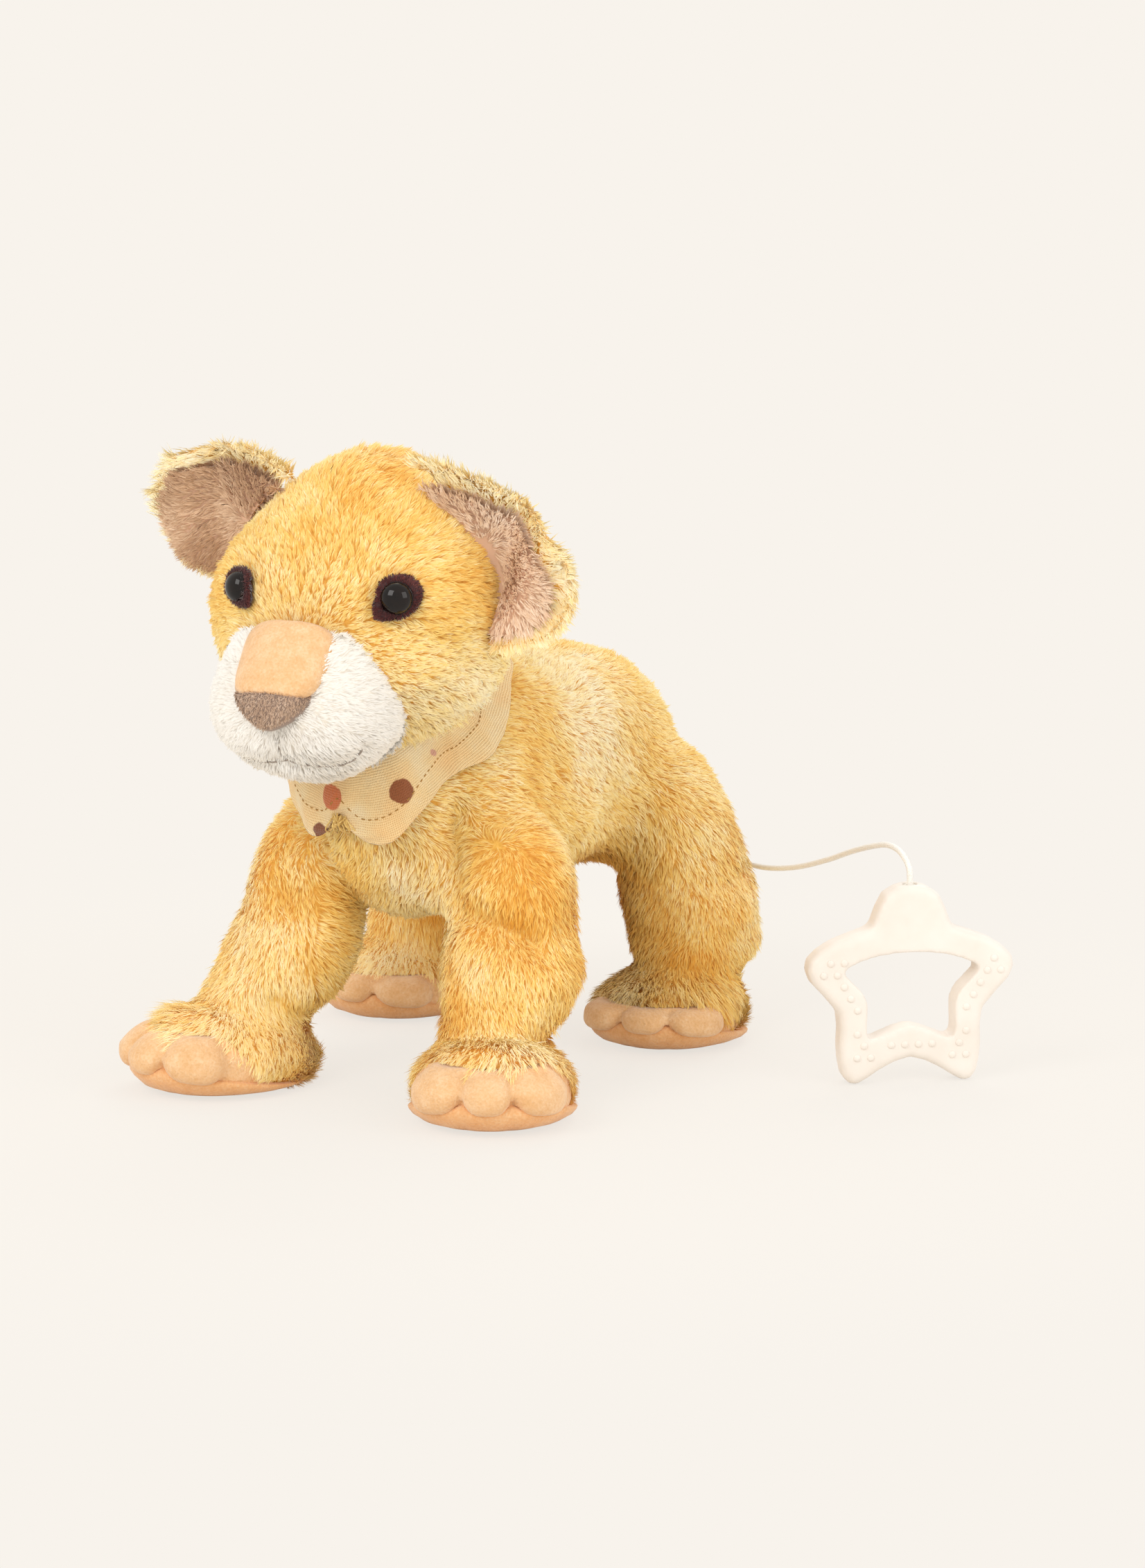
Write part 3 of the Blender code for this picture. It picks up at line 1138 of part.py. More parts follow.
CORD_BORE = CORD_DIAMETER / 2 + 2 * GAP
carve(CASE_LOWER, turned("cord_hole_cutter", [(0.0, -OVERRUN), (CORD_BORE, -OVERRUN),
                                              (CORD_BORE, CASE_WALL + OVERRUN),
                                              (0.0, CASE_WALL + OVERRUN)], CASE_PLASTIC, 12, "Y",
                         (0.0, CASE_HIGH.y - CASE_WALL, CORD_EXIT_HEIGHT)))
for number in range(CASE_SLOT_COUNT):
    y = CASE_MIDDLE + (number - (CASE_SLOT_COUNT - 1) / 2) * CASE_SLOT_PITCH
    slot_low = (-CASE_SLOT_LENGTH / 2, y - CASE_SLOT_WIDTH / 2, CASE_HIGH.z - CASE_WALL - OVERRUN)
    slot_high = (CASE_SLOT_LENGTH / 2, y + CASE_SLOT_WIDTH / 2, CASE_HIGH.z + OVERRUN)
    carve(CASE_UPPER, box("slot_cutter", slot_low, slot_high, CASE_PLASTIC))

# Movement frame: a bent plate with two cheeks that carry the arbors
FRAME_LOW = Vector((-FRAME_WIDTH / 2, COMB_ROOT - GAP, CASE_BOTTOM + CASE_WALL + GAP))
FRAME_HIGH = Vector((FRAME_WIDTH / 2, CASE_HIGH.y - CASE_WALL - FRAME_END_ROOM,
                     FRAME_LOW.z + FRAME_HEIGHT))
FRAME = box("movement_frame", FRAME_LOW, FRAME_HIGH, BRASS)
carve(FRAME, box("frame_cutter", (FRAME_LOW.x + FRAME_SHEET, FRAME_LOW.y - OVERRUN,
                                  FRAME_LOW.z + FRAME_SHEET),
                 (FRAME_HIGH.x - FRAME_SHEET, FRAME_HIGH.y + OVERRUN, FRAME_HIGH.z + OVERRUN),
                 BRASS))
ARBOR_HALF = FRAME_WIDTH / 2
for axis in (SPOOL_AXIS, CYLINDER_AXIS, GOVERNOR_AXIS):
    hole = ARBOR_DIAMETER / 2 + GAP
    carve(FRAME, turned("arbor_hole_cutter", [(0.0, -ARBOR_HALF - OVERRUN),
                                              (hole, -ARBOR_HALF - OVERRUN),
                                              (hole, ARBOR_HALF + OVERRUN),
                                              (0.0, ARBOR_HALF + OVERRUN)], BRASS, 12, "X", axis))


TOOTH_SHARES = ((-1.55, -TOOTH_ROOT_SHARE), (-0.55, TOOTH_TIP_SHARE), (0.55, TOOTH_TIP_SHARE),
                (1.55, -TOOTH_ROOT_SHARE))


def gear_outline(teeth):
    """Straight-flanked teeth, narrower than their gaps, so that they run with backlash."""
    outline = []
    radius = pitch_radius(teeth)
    for tooth in range(teeth):
        for side, height in TOOTH_SHARES:
            angle = 2 * math.pi * (tooth + side * TOOTH_SHARE / 2) / teeth
            r = radius + GEAR_MODULE * height
            outline.append((r * math.cos(angle), r * math.sin(angle)))
    return outline


def make_gear(name, teeth, axis, material, phase=0.0, low=GEAR_OFFSET - GEAR_THICKNESS / 2,
              high=GEAR_OFFSET + GEAR_THICKNESS / 2):
    wheel = plate(name, gear_outline(teeth), low, high, material, "X", axis)
    wheel.data.transform(Matrix.Rotation(phase, 4, "X"))
    hole = ARBOR_DIAMETER / 2 + GAP
    carve(wheel, turned("bore_cutter", [(0.0, low - OVERRUN), (hole, low - OVERRUN),
                                        (hole, high + OVERRUN), (0.0, high + OVERRUN)],
                        material, 12, "X", axis))
    return wheel


def meshing_phase(axis, teeth, next_axis_place, next_teeth, phase):
    """The turn that puts a gap of the next wheel on the tooth that faces it."""
    way = next_axis_place - axis
    angle = math.atan2(way.z, way.y)
    tooth = (angle - phase) * teeth / (2 * math.pi)
    return (angle + math.pi) + (tooth + 0.5) * 2 * math.pi / next_teeth


def make_arbor(name, axis):
    return turned(name, [(0.0, -ARBOR_HALF), (ARBOR_DIAMETER / 2, -ARBOR_HALF),
                         (ARBOR_DIAMETER / 2, ARBOR_HALF), (0.0, ARBOR_HALF)], STEEL, 12, "X", axis)


make_gear("great_wheel", GREAT_WHEEL_TEETH, SPOOL_AXIS, BRASS)
CYLINDER_PHASE = meshing_phase(SPOOL_AXIS, GREAT_WHEEL_TEETH, CYLINDER_AXIS,
                               CYLINDER_WHEEL_TEETH, 0.0)
make_gear("cylinder_wheel", CYLINDER_WHEEL_TEETH, CYLINDER_AXIS, BRASS, CYLINDER_PHASE)
GOVERNOR_PHASE = meshing_phase(CYLINDER_AXIS, CYLINDER_WHEEL_TEETH, GOVERNOR_AXIS,
                               GOVERNOR_PINION_TEETH, CYLINDER_PHASE)
make_arbor("spool_arbor", SPOOL_AXIS)
make_arbor("cylinder_arbor", CYLINDER_AXIS)

# Cord spool with the spring barrel moulded on its side
ARBOR_BORE = ARBOR_DIAMETER / 2 + GAP
FLANGE = ((CYLINDER_AXIS - SPOOL_AXIS).length - CYLINDER_DIAMETER / 2 - PIN_HEIGHT
          - SPOOL_SIDE_ROOM)
SPOOL_HALF = SPOOL_WIDTH / 2
BARREL_END = GEAR_OFFSET - GEAR_THICKNESS / 2 - BARREL_END_ROOM
turned("cord_spool", [
    (ARBOR_BORE, -SPOOL_HALF - SPOOL_FLANGE_THICKNESS),
    (FLANGE, -SPOOL_HALF - SPOOL_FLANGE_THICKNESS), (FLANGE, -SPOOL_HALF), (SPOOL_CORE_DIAMETER / 2, -SPOOL_HALF),
    (SPOOL_CORE_DIAMETER / 2, SPOOL_HALF), (FLANGE, SPOOL_HALF), (FLANGE, BARREL_END),
    (FLANGE - BARREL_WALL, BARREL_END),
    (FLANGE - BARREL_WALL, SPOOL_HALF + SPOOL_FLANGE_THICKNESS),
    (ARBOR_BORE, SPOOL_HALF + SPOOL_FLANGE_THICKNESS),
    (ARBOR_BORE, -SPOOL_HALF - SPOOL_FLANGE_THICKNESS)], NYLON, 24, "X", SPOOL_AXIS)
WOUND_RADIUS = SPOOL_WINDING_RADIUS - CORD_DIAMETER / 2 - GAP
WOUND_HALF = SPOOL_HALF - GAP
turned("wound_cord", [
    (SPOOL_CORE_DIAMETER / 2 + GAP, -WOUND_HALF), (WOUND_RADIUS, -WOUND_HALF),
    (WOUND_RADIUS, WOUND_HALF), (SPOOL_CORE_DIAMETER / 2 + GAP, WOUND_HALF),
    (SPOOL_CORE_DIAMETER / 2 + GAP, -WOUND_HALF)], BRAID, 24, "X", SPOOL_AXIS)

# Mainspring: a spiral strip in the barrel
spiral = []
SPRING_INNER = ARBOR_BORE + GAP
SPRING_OUTER = FLANGE - BARREL_WALL - GAP
count = SPRING_TURNS * SPRING_POINTS
for inner in (True, False):
    order = range(count + 1) if inner else range(count, -1, -1)
    for k in order:
        angle = 2 * math.pi * k / SPRING_POINTS
        radius = SPRING_INNER + (SPRING_OUTER - SPRING_SHEET - SPRING_INNER) * k / count
        radius += 0.0 if inner else SPRING_SHEET
        spiral.append((radius * math.cos(angle), radius * math.sin(angle)))
plate("mainspring", spiral, SPOOL_HALF + SPOOL_FLANGE_THICKNESS + GAP, BARREL_END - GAP, STEEL,
      "X", SPOOL_AXIS)


# Pinned cylinder: a brass drum whose raised pins pluck the comb
def pinned_cylinder():
    bm = bmesh.new()
    rows = []
    radius = CYLINDER_DIAMETER / 2
    for i in range(COMB_TEETH + 1):
        x = CYLINDER_LENGTH * (i / COMB_TEETH - 0.5) - GAP
        row = []
        for k in range(CYLINDER_STEP_COUNT):
            angle = 2 * math.pi * k / CYLINDER_STEP_COUNT
            row.append(bm.verts.new((x, radius * math.cos(angle), radius * math.sin(angle))))
        rows.append(row)
    pins = []
    for i, (lower, upper) in enumerate(zip(rows, rows[1:])):
        for k in range(CYLINDER_STEP_COUNT):
            n = (k + 1) % CYLINDER_STEP_COUNT
            face = bm.faces.new((lower[k], lower[n], upper[n], upper[k]))
            if (7 * i + 3 * k) % 11 == 0 and (i + k) % 2 == 0:
                pins.append(face)
    bm.faces.new(rows[0])
    bm.faces.new(rows[-1])
    bmesh.ops.recalc_face_normals(bm, faces=bm.faces)
    bmesh.ops.inset_individual(bm, faces=pins, thickness=PIN_HEIGHT / 2, depth=0.0)
    raised = bmesh.ops.extrude_discrete_faces(bm, faces=pins)["faces"]
    for face in raised:
        bmesh.ops.translate(bm, vec=face.normal * PIN_HEIGHT, verts=face.verts)
    return bm


CYLINDER = add_object("pinned_cylinder", mesh_from("pinned_cylinder", pinned_cylinder()), BRASS,
                      CYLINDER_AXIS)
carve(CYLINDER, turned("bore_cutter", [(0.0, -CYLINDER_LENGTH), (ARBOR_BORE, -CYLINDER_LENGTH),
                                       (ARBOR_BORE, CYLINDER_LENGTH), (0.0, CYLINDER_LENGTH)],
                       BRASS, 12, "X", CYLINDER_AXIS))

# Comb: a steel plate with one tooth for each note, screwed to a block on the frame
COMB_PITCH = CYLINDER_LENGTH / COMB_TEETH
comb = [(-CYLINDER_LENGTH / 2, COMB_ROOT), (CYLINDER_LENGTH / 2, COMB_ROOT)]
for tooth in range(COMB_TEETH):
    right = CYLINDER_LENGTH / 2 - tooth * COMB_PITCH
    left = right - COMB_PITCH * (1 - COMB_SLOT_SHARE)
    comb += [(right, COMB_TIP), (left, COMB_TIP)]
    if tooth < COMB_TEETH - 1:
        slot = COMB_ROOT + COMB_BLOCK_DEPTH + GAP
        comb += [(left, slot), (right - COMB_PITCH, slot)]
comb[-1] = (-CYLINDER_LENGTH / 2, COMB_TIP)
COMB = plate("comb", comb, COMB_HEIGHT, COMB_HEIGHT + COMB_THICKNESS, STEEL)
carve(FRAME, box("comb_block", (-CYLINDER_LENGTH / 2, COMB_ROOT, FRAME_LOW.z + FRAME_SHEET / 2),
                 (CYLINDER_LENGTH / 2, COMB_ROOT + COMB_BLOCK_DEPTH, COMB_HEIGHT - GAP), BRASS),
      operation="UNION")
for side, side_name in ((1, "left"), (-1, "right")):
    place = (side * CYLINDER_LENGTH / 4, COMB_ROOT + COMB_BLOCK_DEPTH / 2, 0.0)
    cap_low = COMB_HEIGHT + COMB_THICKNESS + GAP
    shaft_low = COMB_HEIGHT - COMB_BLOCK_DEPTH
    for piece in (COMB, FRAME):
        carve(piece, turned("screw_cutter", [(0.0, shaft_low - GAP), (SCREW_BORE, shaft_low - GAP),
                                             (SCREW_BORE, cap_low + OVERRUN),
                                             (0.0, cap_low + OVERRUN)], STEEL, 12, place=place))
    turned("comb_screw_" + side_name, [
        (0.0, shaft_low), (SCREW_DIAMETER / 2, shaft_low), (SCREW_DIAMETER / 2, cap_low),
        (SCREW_HEAD_DIAMETER / 2, cap_low), (SCREW_HEAD_DIAMETER / 2, cap_low + SCREW_HEAD_HEIGHT),
        (0.0, cap_low + SCREW_HEAD_HEIGHT)], STEEL, 12, place=place)

# Governor: pinion, hub and two fan blades in one piece, which brake the cylinder
FAN_HALF = GOVERNOR_FAN_LENGTH / 2
FAN_RADIUS = (GOVERNOR_AXIS - CYLINDER_AXIS).length - PIN_CIRCLE - GAP
GOVERNOR = plate("governor", gear_outline(GOVERNOR_PINION_TEETH),
                 GEAR_OFFSET - GEAR_THICKNESS / 2, GEAR_OFFSET + GEAR_THICKNESS / 2, NYLON, "X",
                 GOVERNOR_AXIS)
GOVERNOR.data.transform(Matrix.Rotation(GOVERNOR_PHASE, 4, "X"))
carve(GOVERNOR, turned("pin", [(0.0, -ARBOR_HALF), (ARBOR_DIAMETER / 2, -ARBOR_HALF),
                               (ARBOR_DIAMETER / 2, ARBOR_HALF), (0.0, ARBOR_HALF)], NYLON, 12,
                       "X", GOVERNOR_AXIS), operation="UNION")
blades = box("blades", (-FAN_HALF, -FAN_RADIUS, -GOVERNOR_FAN_THICKNESS / 2),
             (FAN_HALF, FAN_RADIUS, GOVERNOR_FAN_THICKNESS / 2), NYLON)
blades.location = GOVERNOR_AXIS
carve(GOVERNOR, blades, operation="UNION")

# Pocket for the movement in the torso, with the cord's way out through the rump
ROOM = Vector((GAP, GAP, GAP))
carve(TORSO, box("pocket_cutter", CASE_LOW - ROOM, CASE_HIGH + ROOM, PLUSH))
EYELET_FACE = CORD_EXIT_BACK - GAP
EYELET_SEAT = EYELET_FACE - EYELET_FLANGE_THICKNESS
TUBE_BORE = EYELET_TUBE_DIAMETER / 2 + GAP
FLANGE_BORE = EYELET_FLANGE_DIAMETER / 2 + GAP
carve(TORSO, turned("cord_way_cutter", [
    (0.0, CASE_HIGH.y - OVERRUN), (TUBE_BORE, CASE_HIGH.y - OVERRUN), (TUBE_BORE, EYELET_SEAT - GAP),
    (FLANGE_BORE, EYELET_SEAT - GAP), (FLANGE_BORE, EYELET_FACE + TORSO_LENGTH),
    (0.0, EYELET_FACE + TORSO_LENGTH)], PLUSH, 20, "Y", (0.0, 0.0, CORD_EXIT_HEIGHT)))
EYELET_INNER = EYELET_BORE / 2
turned("cord_eyelet", [
    (EYELET_INNER, EYELET_SEAT - EYELET_TUBE_LENGTH),
    (EYELET_TUBE_DIAMETER / 2, EYELET_SEAT - EYELET_TUBE_LENGTH),
    (EYELET_TUBE_DIAMETER / 2, EYELET_SEAT), (EYELET_FLANGE_DIAMETER / 2, EYELET_SEAT),
    (EYELET_FLANGE_DIAMETER / 2, EYELET_FACE), (EYELET_INNER, EYELET_FACE),
    (EYELET_INNER, EYELET_SEAT - EYELET_TUBE_LENGTH)], BRASS, 20, "Y",
    (0.0, 0.0, CORD_EXIT_HEIGHT))


# Cord: a straight stretch from the spool to the eyelet, then the free stretch to the star
def cord_tube(name, points):
    curve = bpy.data.curves.new(name, "CURVE")
    curve.dimensions = "3D"
    curve.bevel_depth = CORD_DIAMETER / 2
    curve.bevel_resolution = 2
    curve.use_fill_caps = True
    run = curve.splines.new("POLY")
    run.points.add(len(points) - 1)
    for knot, point in zip(run.points, points):
        knot.co = (*point, 1.0)
    piece = bpy.data.objects.new(name, curve)
    piece.parent = ROOT
    curve.materials.append(BRAID)
    bpy.context.scene.collection.objects.link(piece)
    return piece


INNER_END = CORD_EXIT_BACK - GAP
cord_tube("cord_inner", [(0.0, SPOOL_AXIS.y, CORD_EXIT_HEIGHT),
                         (0.0, (SPOOL_AXIS.y + INNER_END) / 2, CORD_EXIT_HEIGHT),
                         (0.0, INNER_END, CORD_EXIT_HEIGHT)])
fine = round_profile(CORD_ROUTE, closed=False, detail=12)
lengths = [0.0]
for a, b in zip(fine, fine[1:]):
    lengths.append(lengths[-1] + (b - a).length)
steps = round(lengths[-1] / CORD_STEP)
route = []
for step in range(steps + 1):
    want = lengths[-1] * step / steps
    index = next(i for i in range(1, len(lengths)) if want <= lengths[i] + GAP / 1000)
    share = (want - lengths[index - 1]) / (lengths[index] - lengths[index - 1])
    route.append(fine[index - 1].lerp(fine[index], share))
cord_tube("pull_cord", route)
print("free cord length", round(lengths[-1], 4))


def centre_whole_model():
    """Shift the frame so that the origin is under the middle of lion and star."""
    bpy.context.view_layer.update()
    depsgraph = bpy.context.evaluated_depsgraph_get()
    corners = []
    for piece in bpy.data.objects:
        if piece.type == "EMPTY" or piece.name == "pull_cord":
            continue
        shown = piece.evaluated_get(depsgraph)
        corners += [piece.matrix_world @ vertex.co for vertex in shown.to_mesh().vertices]
        shown.to_mesh_clear()
    for axis in (0, 1):
        low = min(corner[axis] for corner in corners)
        high = max(corner[axis] for corner in corners)
        ROOT.location[axis] = -(low + high) / 2
    bpy.context.view_layer.update()


centre_whole_model()
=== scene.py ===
"""A plush lion cub with a musical pull cord, dressed round its solid model."""
import math

import bmesh
import bpy
import numpy as np
from mathutils import Matrix, Vector
from mathutils.bvhtree import BVHTree
from mathutils.kdtree import KDTree


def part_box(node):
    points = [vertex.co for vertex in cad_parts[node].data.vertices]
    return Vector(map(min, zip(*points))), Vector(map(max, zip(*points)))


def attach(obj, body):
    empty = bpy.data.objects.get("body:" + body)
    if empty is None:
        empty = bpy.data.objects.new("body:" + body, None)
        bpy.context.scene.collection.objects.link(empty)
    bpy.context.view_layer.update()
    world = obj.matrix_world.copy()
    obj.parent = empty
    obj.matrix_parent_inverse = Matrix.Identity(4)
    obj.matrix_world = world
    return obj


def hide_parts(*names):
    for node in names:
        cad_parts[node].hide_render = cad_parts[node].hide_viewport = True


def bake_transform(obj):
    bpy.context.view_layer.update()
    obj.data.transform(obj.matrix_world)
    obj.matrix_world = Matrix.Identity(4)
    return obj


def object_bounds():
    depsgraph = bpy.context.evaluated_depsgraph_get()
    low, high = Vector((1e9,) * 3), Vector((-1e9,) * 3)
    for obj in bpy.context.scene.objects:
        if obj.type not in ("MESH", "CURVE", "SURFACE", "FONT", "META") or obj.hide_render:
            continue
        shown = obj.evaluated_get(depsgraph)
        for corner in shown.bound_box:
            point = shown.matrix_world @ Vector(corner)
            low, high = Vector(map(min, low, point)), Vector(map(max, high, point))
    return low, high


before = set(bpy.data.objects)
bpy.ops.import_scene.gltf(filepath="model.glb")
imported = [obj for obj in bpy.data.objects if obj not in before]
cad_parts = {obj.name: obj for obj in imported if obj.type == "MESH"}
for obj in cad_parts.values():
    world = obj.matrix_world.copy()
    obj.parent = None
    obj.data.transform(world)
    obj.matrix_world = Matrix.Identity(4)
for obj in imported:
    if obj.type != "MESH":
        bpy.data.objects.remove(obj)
cad_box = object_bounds()

# Studio: a pale seamless backdrop under three large softboxes, with a long lens in front of the
# lion's left cheek. The floor shows the backdrop's own colour and keeps only a faint shadow.
MM = 0.001
CHEST_AHEAD = 74 * MM
BACKDROP_SHADE = "#F8F3EC"
FLOOR_SHADE = "#EFEBE4"
FLOOR_SHADOW_SHARE = 0.2
FLOOR_SHADOW_REACH = 0.42
FLOOR_SIZE = 6.0
WORLD_STRENGTH = 0.80
AIR_COLOUR = (1.0, 0.985, 0.96, 1.0)
LAMP_COLOUR = (1.0, 0.98, 0.955)
LAMP_AIM = Vector((0.0, 0.0, 0.11))
# Each softbox: name, how far right, nearer and up of the lion, size, watts.
SOFTBOXES = (("key_softbox", -0.95, 1.15, 1.15, 0.9, 11.0),
             ("fill_softbox", 1.25, 1.0, 0.8, 1.0, 6.8),
             ("back_softbox", 0.3, -1.2, 1.3, 1.0, 6.2))
CAMERA_DISTANCE = 1.5
CAMERA_SIDE = math.radians(28.5)
CAMERA_RISE = math.radians(13.3)
CAMERA_YAW = math.radians(26.816364)
CAMERA_PITCH = math.radians(9.529495)
CAMERA_LENS = 95.49
CAMERA_SENSOR = 36.0

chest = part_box("torso")
LION = Vector(((chest[0].x + chest[1].x) / 2, chest[0].y + CHEST_AHEAD, 0.0))


def shade(code):
    """The linear colour of a sample card written as a hex code."""
    parts = [int(code[k:k + 2], 16) / 255 for k in (1, 3, 5)]
    return (*[c / 12.92 if c <= 0.04045 else ((c + 0.055) / 1.055)**2.4 for c in parts], 1.0)


def finish(name, **sockets):
    """A material whose even values are set on the shader's own sockets."""
    material = bpy.data.materials.new(name)
    material.use_nodes = True
    shader = material.node_tree.nodes["Principled BSDF"]
    for socket, value in sockets.items():
        shader.inputs[socket.replace("_", " ")].default_value = value
    return material


def node(material, kind, links=None, values=None, **settings):
    """Adds a node, with its settings, socket values and links from other sockets."""
    added = material.node_tree.nodes.new("ShaderNode" + kind)
    for key, value in settings.items():
        setattr(added, key, value)
    for socket, value in (values or {}).items():
        added.inputs[socket].default_value = value
    for socket, source in (links or {}).items():
        material.node_tree.links.new(source, added.inputs[socket])
    return added


def seen_directly(material):
    """1 where a camera, mirror or glass ray meets the surface."""
    path = node(material, "LightPath")
    first = node(material, "Math", {0: path.outputs["Is Camera Ray"],
                                    1: path.outputs["Is Glossy Ray"]}, operation="MAXIMUM")
    return node(material, "Math", {0: first.outputs[0], 1: path.outputs["Is Transmission Ray"]},
                operation="MAXIMUM").outputs[0]


world = bpy.data.worlds.new("studio_air")
bpy.context.scene.world = world
world.use_nodes = True
air = world.node_tree.nodes["Background"]
air.inputs["Color"].default_value = AIR_COLOUR
air.inputs["Strength"].default_value = WORLD_STRENGTH
seen_air = node(world, "Background", values={"Color": shade(BACKDROP_SHADE), "Strength": 1.0})
mixed_air = node(world, "MixShader", {0: seen_directly(world), 1: air.outputs[0],
                                      2: seen_air.outputs[0]})
world.node_tree.links.new(mixed_air.outputs[0], world.node_tree.nodes["World Output"].inputs[0])

floor_finish = finish("backdrop_paper", Base_Color=shade(FLOOR_SHADE), Roughness=0.9,
                      Specular_IOR_Level=0.0)
glow = node(floor_finish, "Emission", values={"Color": shade(BACKDROP_SHADE), "Strength": 1.0})
spot = node(floor_finish, "VectorMath", {0: node(floor_finish, "TexCoord").outputs["Object"]},
            {1: LION}, operation="DISTANCE")
near = node(floor_finish, "MapRange", {0: spot.outputs["Value"]},
            {1: FLOOR_SHADOW_REACH / 2, 2: FLOOR_SHADOW_REACH, 3: 1.0 - FLOOR_SHADOW_SHARE, 4: 1.0},
            interpolation_type="SMOOTHSTEP")
blend_share = node(floor_finish, "Math", {0: seen_directly(floor_finish), 1: near.outputs[0]},
                   operation="MULTIPLY")
mixed_floor = node(floor_finish, "MixShader",
                   {0: blend_share.outputs[0],
                    1: floor_finish.node_tree.nodes["Principled BSDF"].outputs[0],
                    2: glow.outputs[0]})
floor_finish.node_tree.links.new(mixed_floor.outputs[0],
                                 floor_finish.node_tree.nodes["Material Output"].inputs[0])


def add_piece(name, mesh, *finishes):
    """Links a mesh as a new piece at the origin, smooth all over."""
    piece = bpy.data.objects.new(name, mesh)
    bpy.context.scene.collection.objects.link(piece)
    for one in finishes:
        mesh.materials.append(one)
    if len(mesh.polygons):
        mesh.polygons.foreach_set("use_smooth", np.ones(len(mesh.polygons), dtype=bool))
    return piece


def mesh_of(name, points, faces):
    mesh = bpy.data.meshes.new(name)
    mesh.from_pydata([tuple(p) for p in points], [], faces)
    mesh.update()
    return mesh


half = FLOOR_SIZE / 2
floor = add_piece("backdrop_floor", mesh_of("backdrop_floor", [
    (-half, -half, 0), (half, -half, 0), (half, half, 0), (-half, half, 0)], [(0, 1, 2, 3)]),
    floor_finish)

eye_point = LION + CAMERA_DISTANCE * Vector((
    math.sin(CAMERA_SIDE) * math.cos(CAMERA_RISE), -math.cos(CAMERA_SIDE) * math.cos(CAMERA_RISE),
    math.sin(CAMERA_RISE)))
camera = bpy.data.objects.new("camera", bpy.data.cameras.new("camera"))
camera.location = eye_point
camera.rotation_euler = (math.pi / 2 - CAMERA_PITCH, 0.0, CAMERA_YAW)
camera.data.sensor_fit = "VERTICAL"
camera.data.sensor_height = CAMERA_SENSOR
camera.data.lens = CAMERA_LENS
bpy.context.scene.collection.objects.link(camera)
bpy.context.scene.camera = camera
bpy.context.scene.view_settings.view_transform = "Standard"
CAMERA_RIGHT = Vector((math.cos(CAMERA_YAW), math.sin(CAMERA_YAW), 0.0))
CAMERA_BACK = Vector((math.sin(CAMERA_YAW), -math.cos(CAMERA_YAW), 0.0))

for name, right, nearer, height, size, watts in SOFTBOXES:
    lamp = bpy.data.objects.new(name, bpy.data.lights.new(name, "AREA"))
    lamp.data.shape, lamp.data.size, lamp.data.size_y = "RECTANGLE", size, size
    lamp.data.energy = watts
    lamp.data.color = LAMP_COLOUR
    lamp.location = LION + CAMERA_RIGHT * right + CAMERA_BACK * nearer + Vector((0, 0, height))
    aim = LION + LAMP_AIM - lamp.location
    lamp.rotation_euler = aim.to_track_quat("-Z", "Y").to_euler()
    bpy.context.scene.collection.objects.link(lamp)


# Pull cord: a white braid of polyester, 2.2 mm thick. It leaves the eyelet in the rump, hangs
# round the left thigh and goes down through the top of the star, where a knot holds it.
CORD_DIAMETER = 2.2 * MM
CORD_ROUTE = (
    (0.0000, 0.1266, 0.0800), (0.0003, 0.1320, 0.0799), (0.0025, 0.1378, 0.0790),
    (0.0080, 0.1432, 0.0765), (0.0175, 0.1462, 0.0718), (0.0290, 0.1445, 0.0661),
    (0.0400, 0.1390, 0.0605), (0.0500, 0.1320, 0.0568), (0.0600, 0.1255, 0.0552),
    (0.0720, 0.1180, 0.0560), (0.0860, 0.1115, 0.0588), (0.1010, 0.1040, 0.0640),
    (0.1150, 0.0935, 0.0700), (0.1290, 0.0780, 0.0755), (0.1410, 0.0630, 0.0795),
    (0.1500, 0.0515, 0.0805), (0.1555, 0.0455, 0.0785), (0.1579, 0.0433, 0.0755),
    (0.1583, 0.0430, 0.0720), (0.1583, 0.0430, 0.0686), (0.1583, 0.0430, 0.0653),
)
BRAID_RIDGES = 4
BRAID_STEP = 0.32 * MM
BRAID_PITCH = 4.2 * MM
BRAID_DEPTH = 0.09
INNER_STEPS = 40
CORD_SIDES = 20


def ramp(material, factor, stops):
    """A colour ramp over (place, hex code) stops."""
    added = node(material, "ValToRGB", {"Fac": factor})
    elements = added.color_ramp.elements
    while len(elements) < len(stops):
        elements.new(0.5)
    for element, (place, code) in zip(elements, stops):
        element.position, element.color = place, shade(code)
    return added.outputs["Color"]


def feed(material, socket, source):
    """Links a source to a socket of the material's shader."""
    shader = material.node_tree.nodes["Principled BSDF"]
    material.node_tree.links.new(source, shader.inputs[socket])


def over_piece(material, kind, links=None, **values):
    """A texture laid through the piece's own space."""
    coords = node(material, "TexCoord").outputs["Object"]
    return node(material, kind, {"Vector": coords, **(links or {})}, values)


def tint(material, source, stops):
    """Feeds the base colour from a texture, through a ramp."""
    feed(material, "Base Color", ramp(material, source.outputs[0], stops))


def dent(material, height, strength, distance):
    """Feeds the normal from the height of a relief."""
    bump = node(material, "Bump", {"Height": height}, {"Strength": strength, "Distance": distance})
    feed(material, "Normal", bump.outputs[0])


def fit(piece, slot, *replaced, body="lion", fill=None):
    """Sets what a piece rides on and hides the solids it replaces; its slot and fill are not used.
    """
    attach(piece, body)
    if replaced:
        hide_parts(*replaced)


def between(a, b, c, d, t):
    """A point from b to c on the smooth curve through four points."""
    return 0.5 * ((2 * b) + (c - a) * t + (2 * a - 5 * b + 4 * c - d) * t**2
                  + (3 * b - a - 3 * c + d) * t**3)


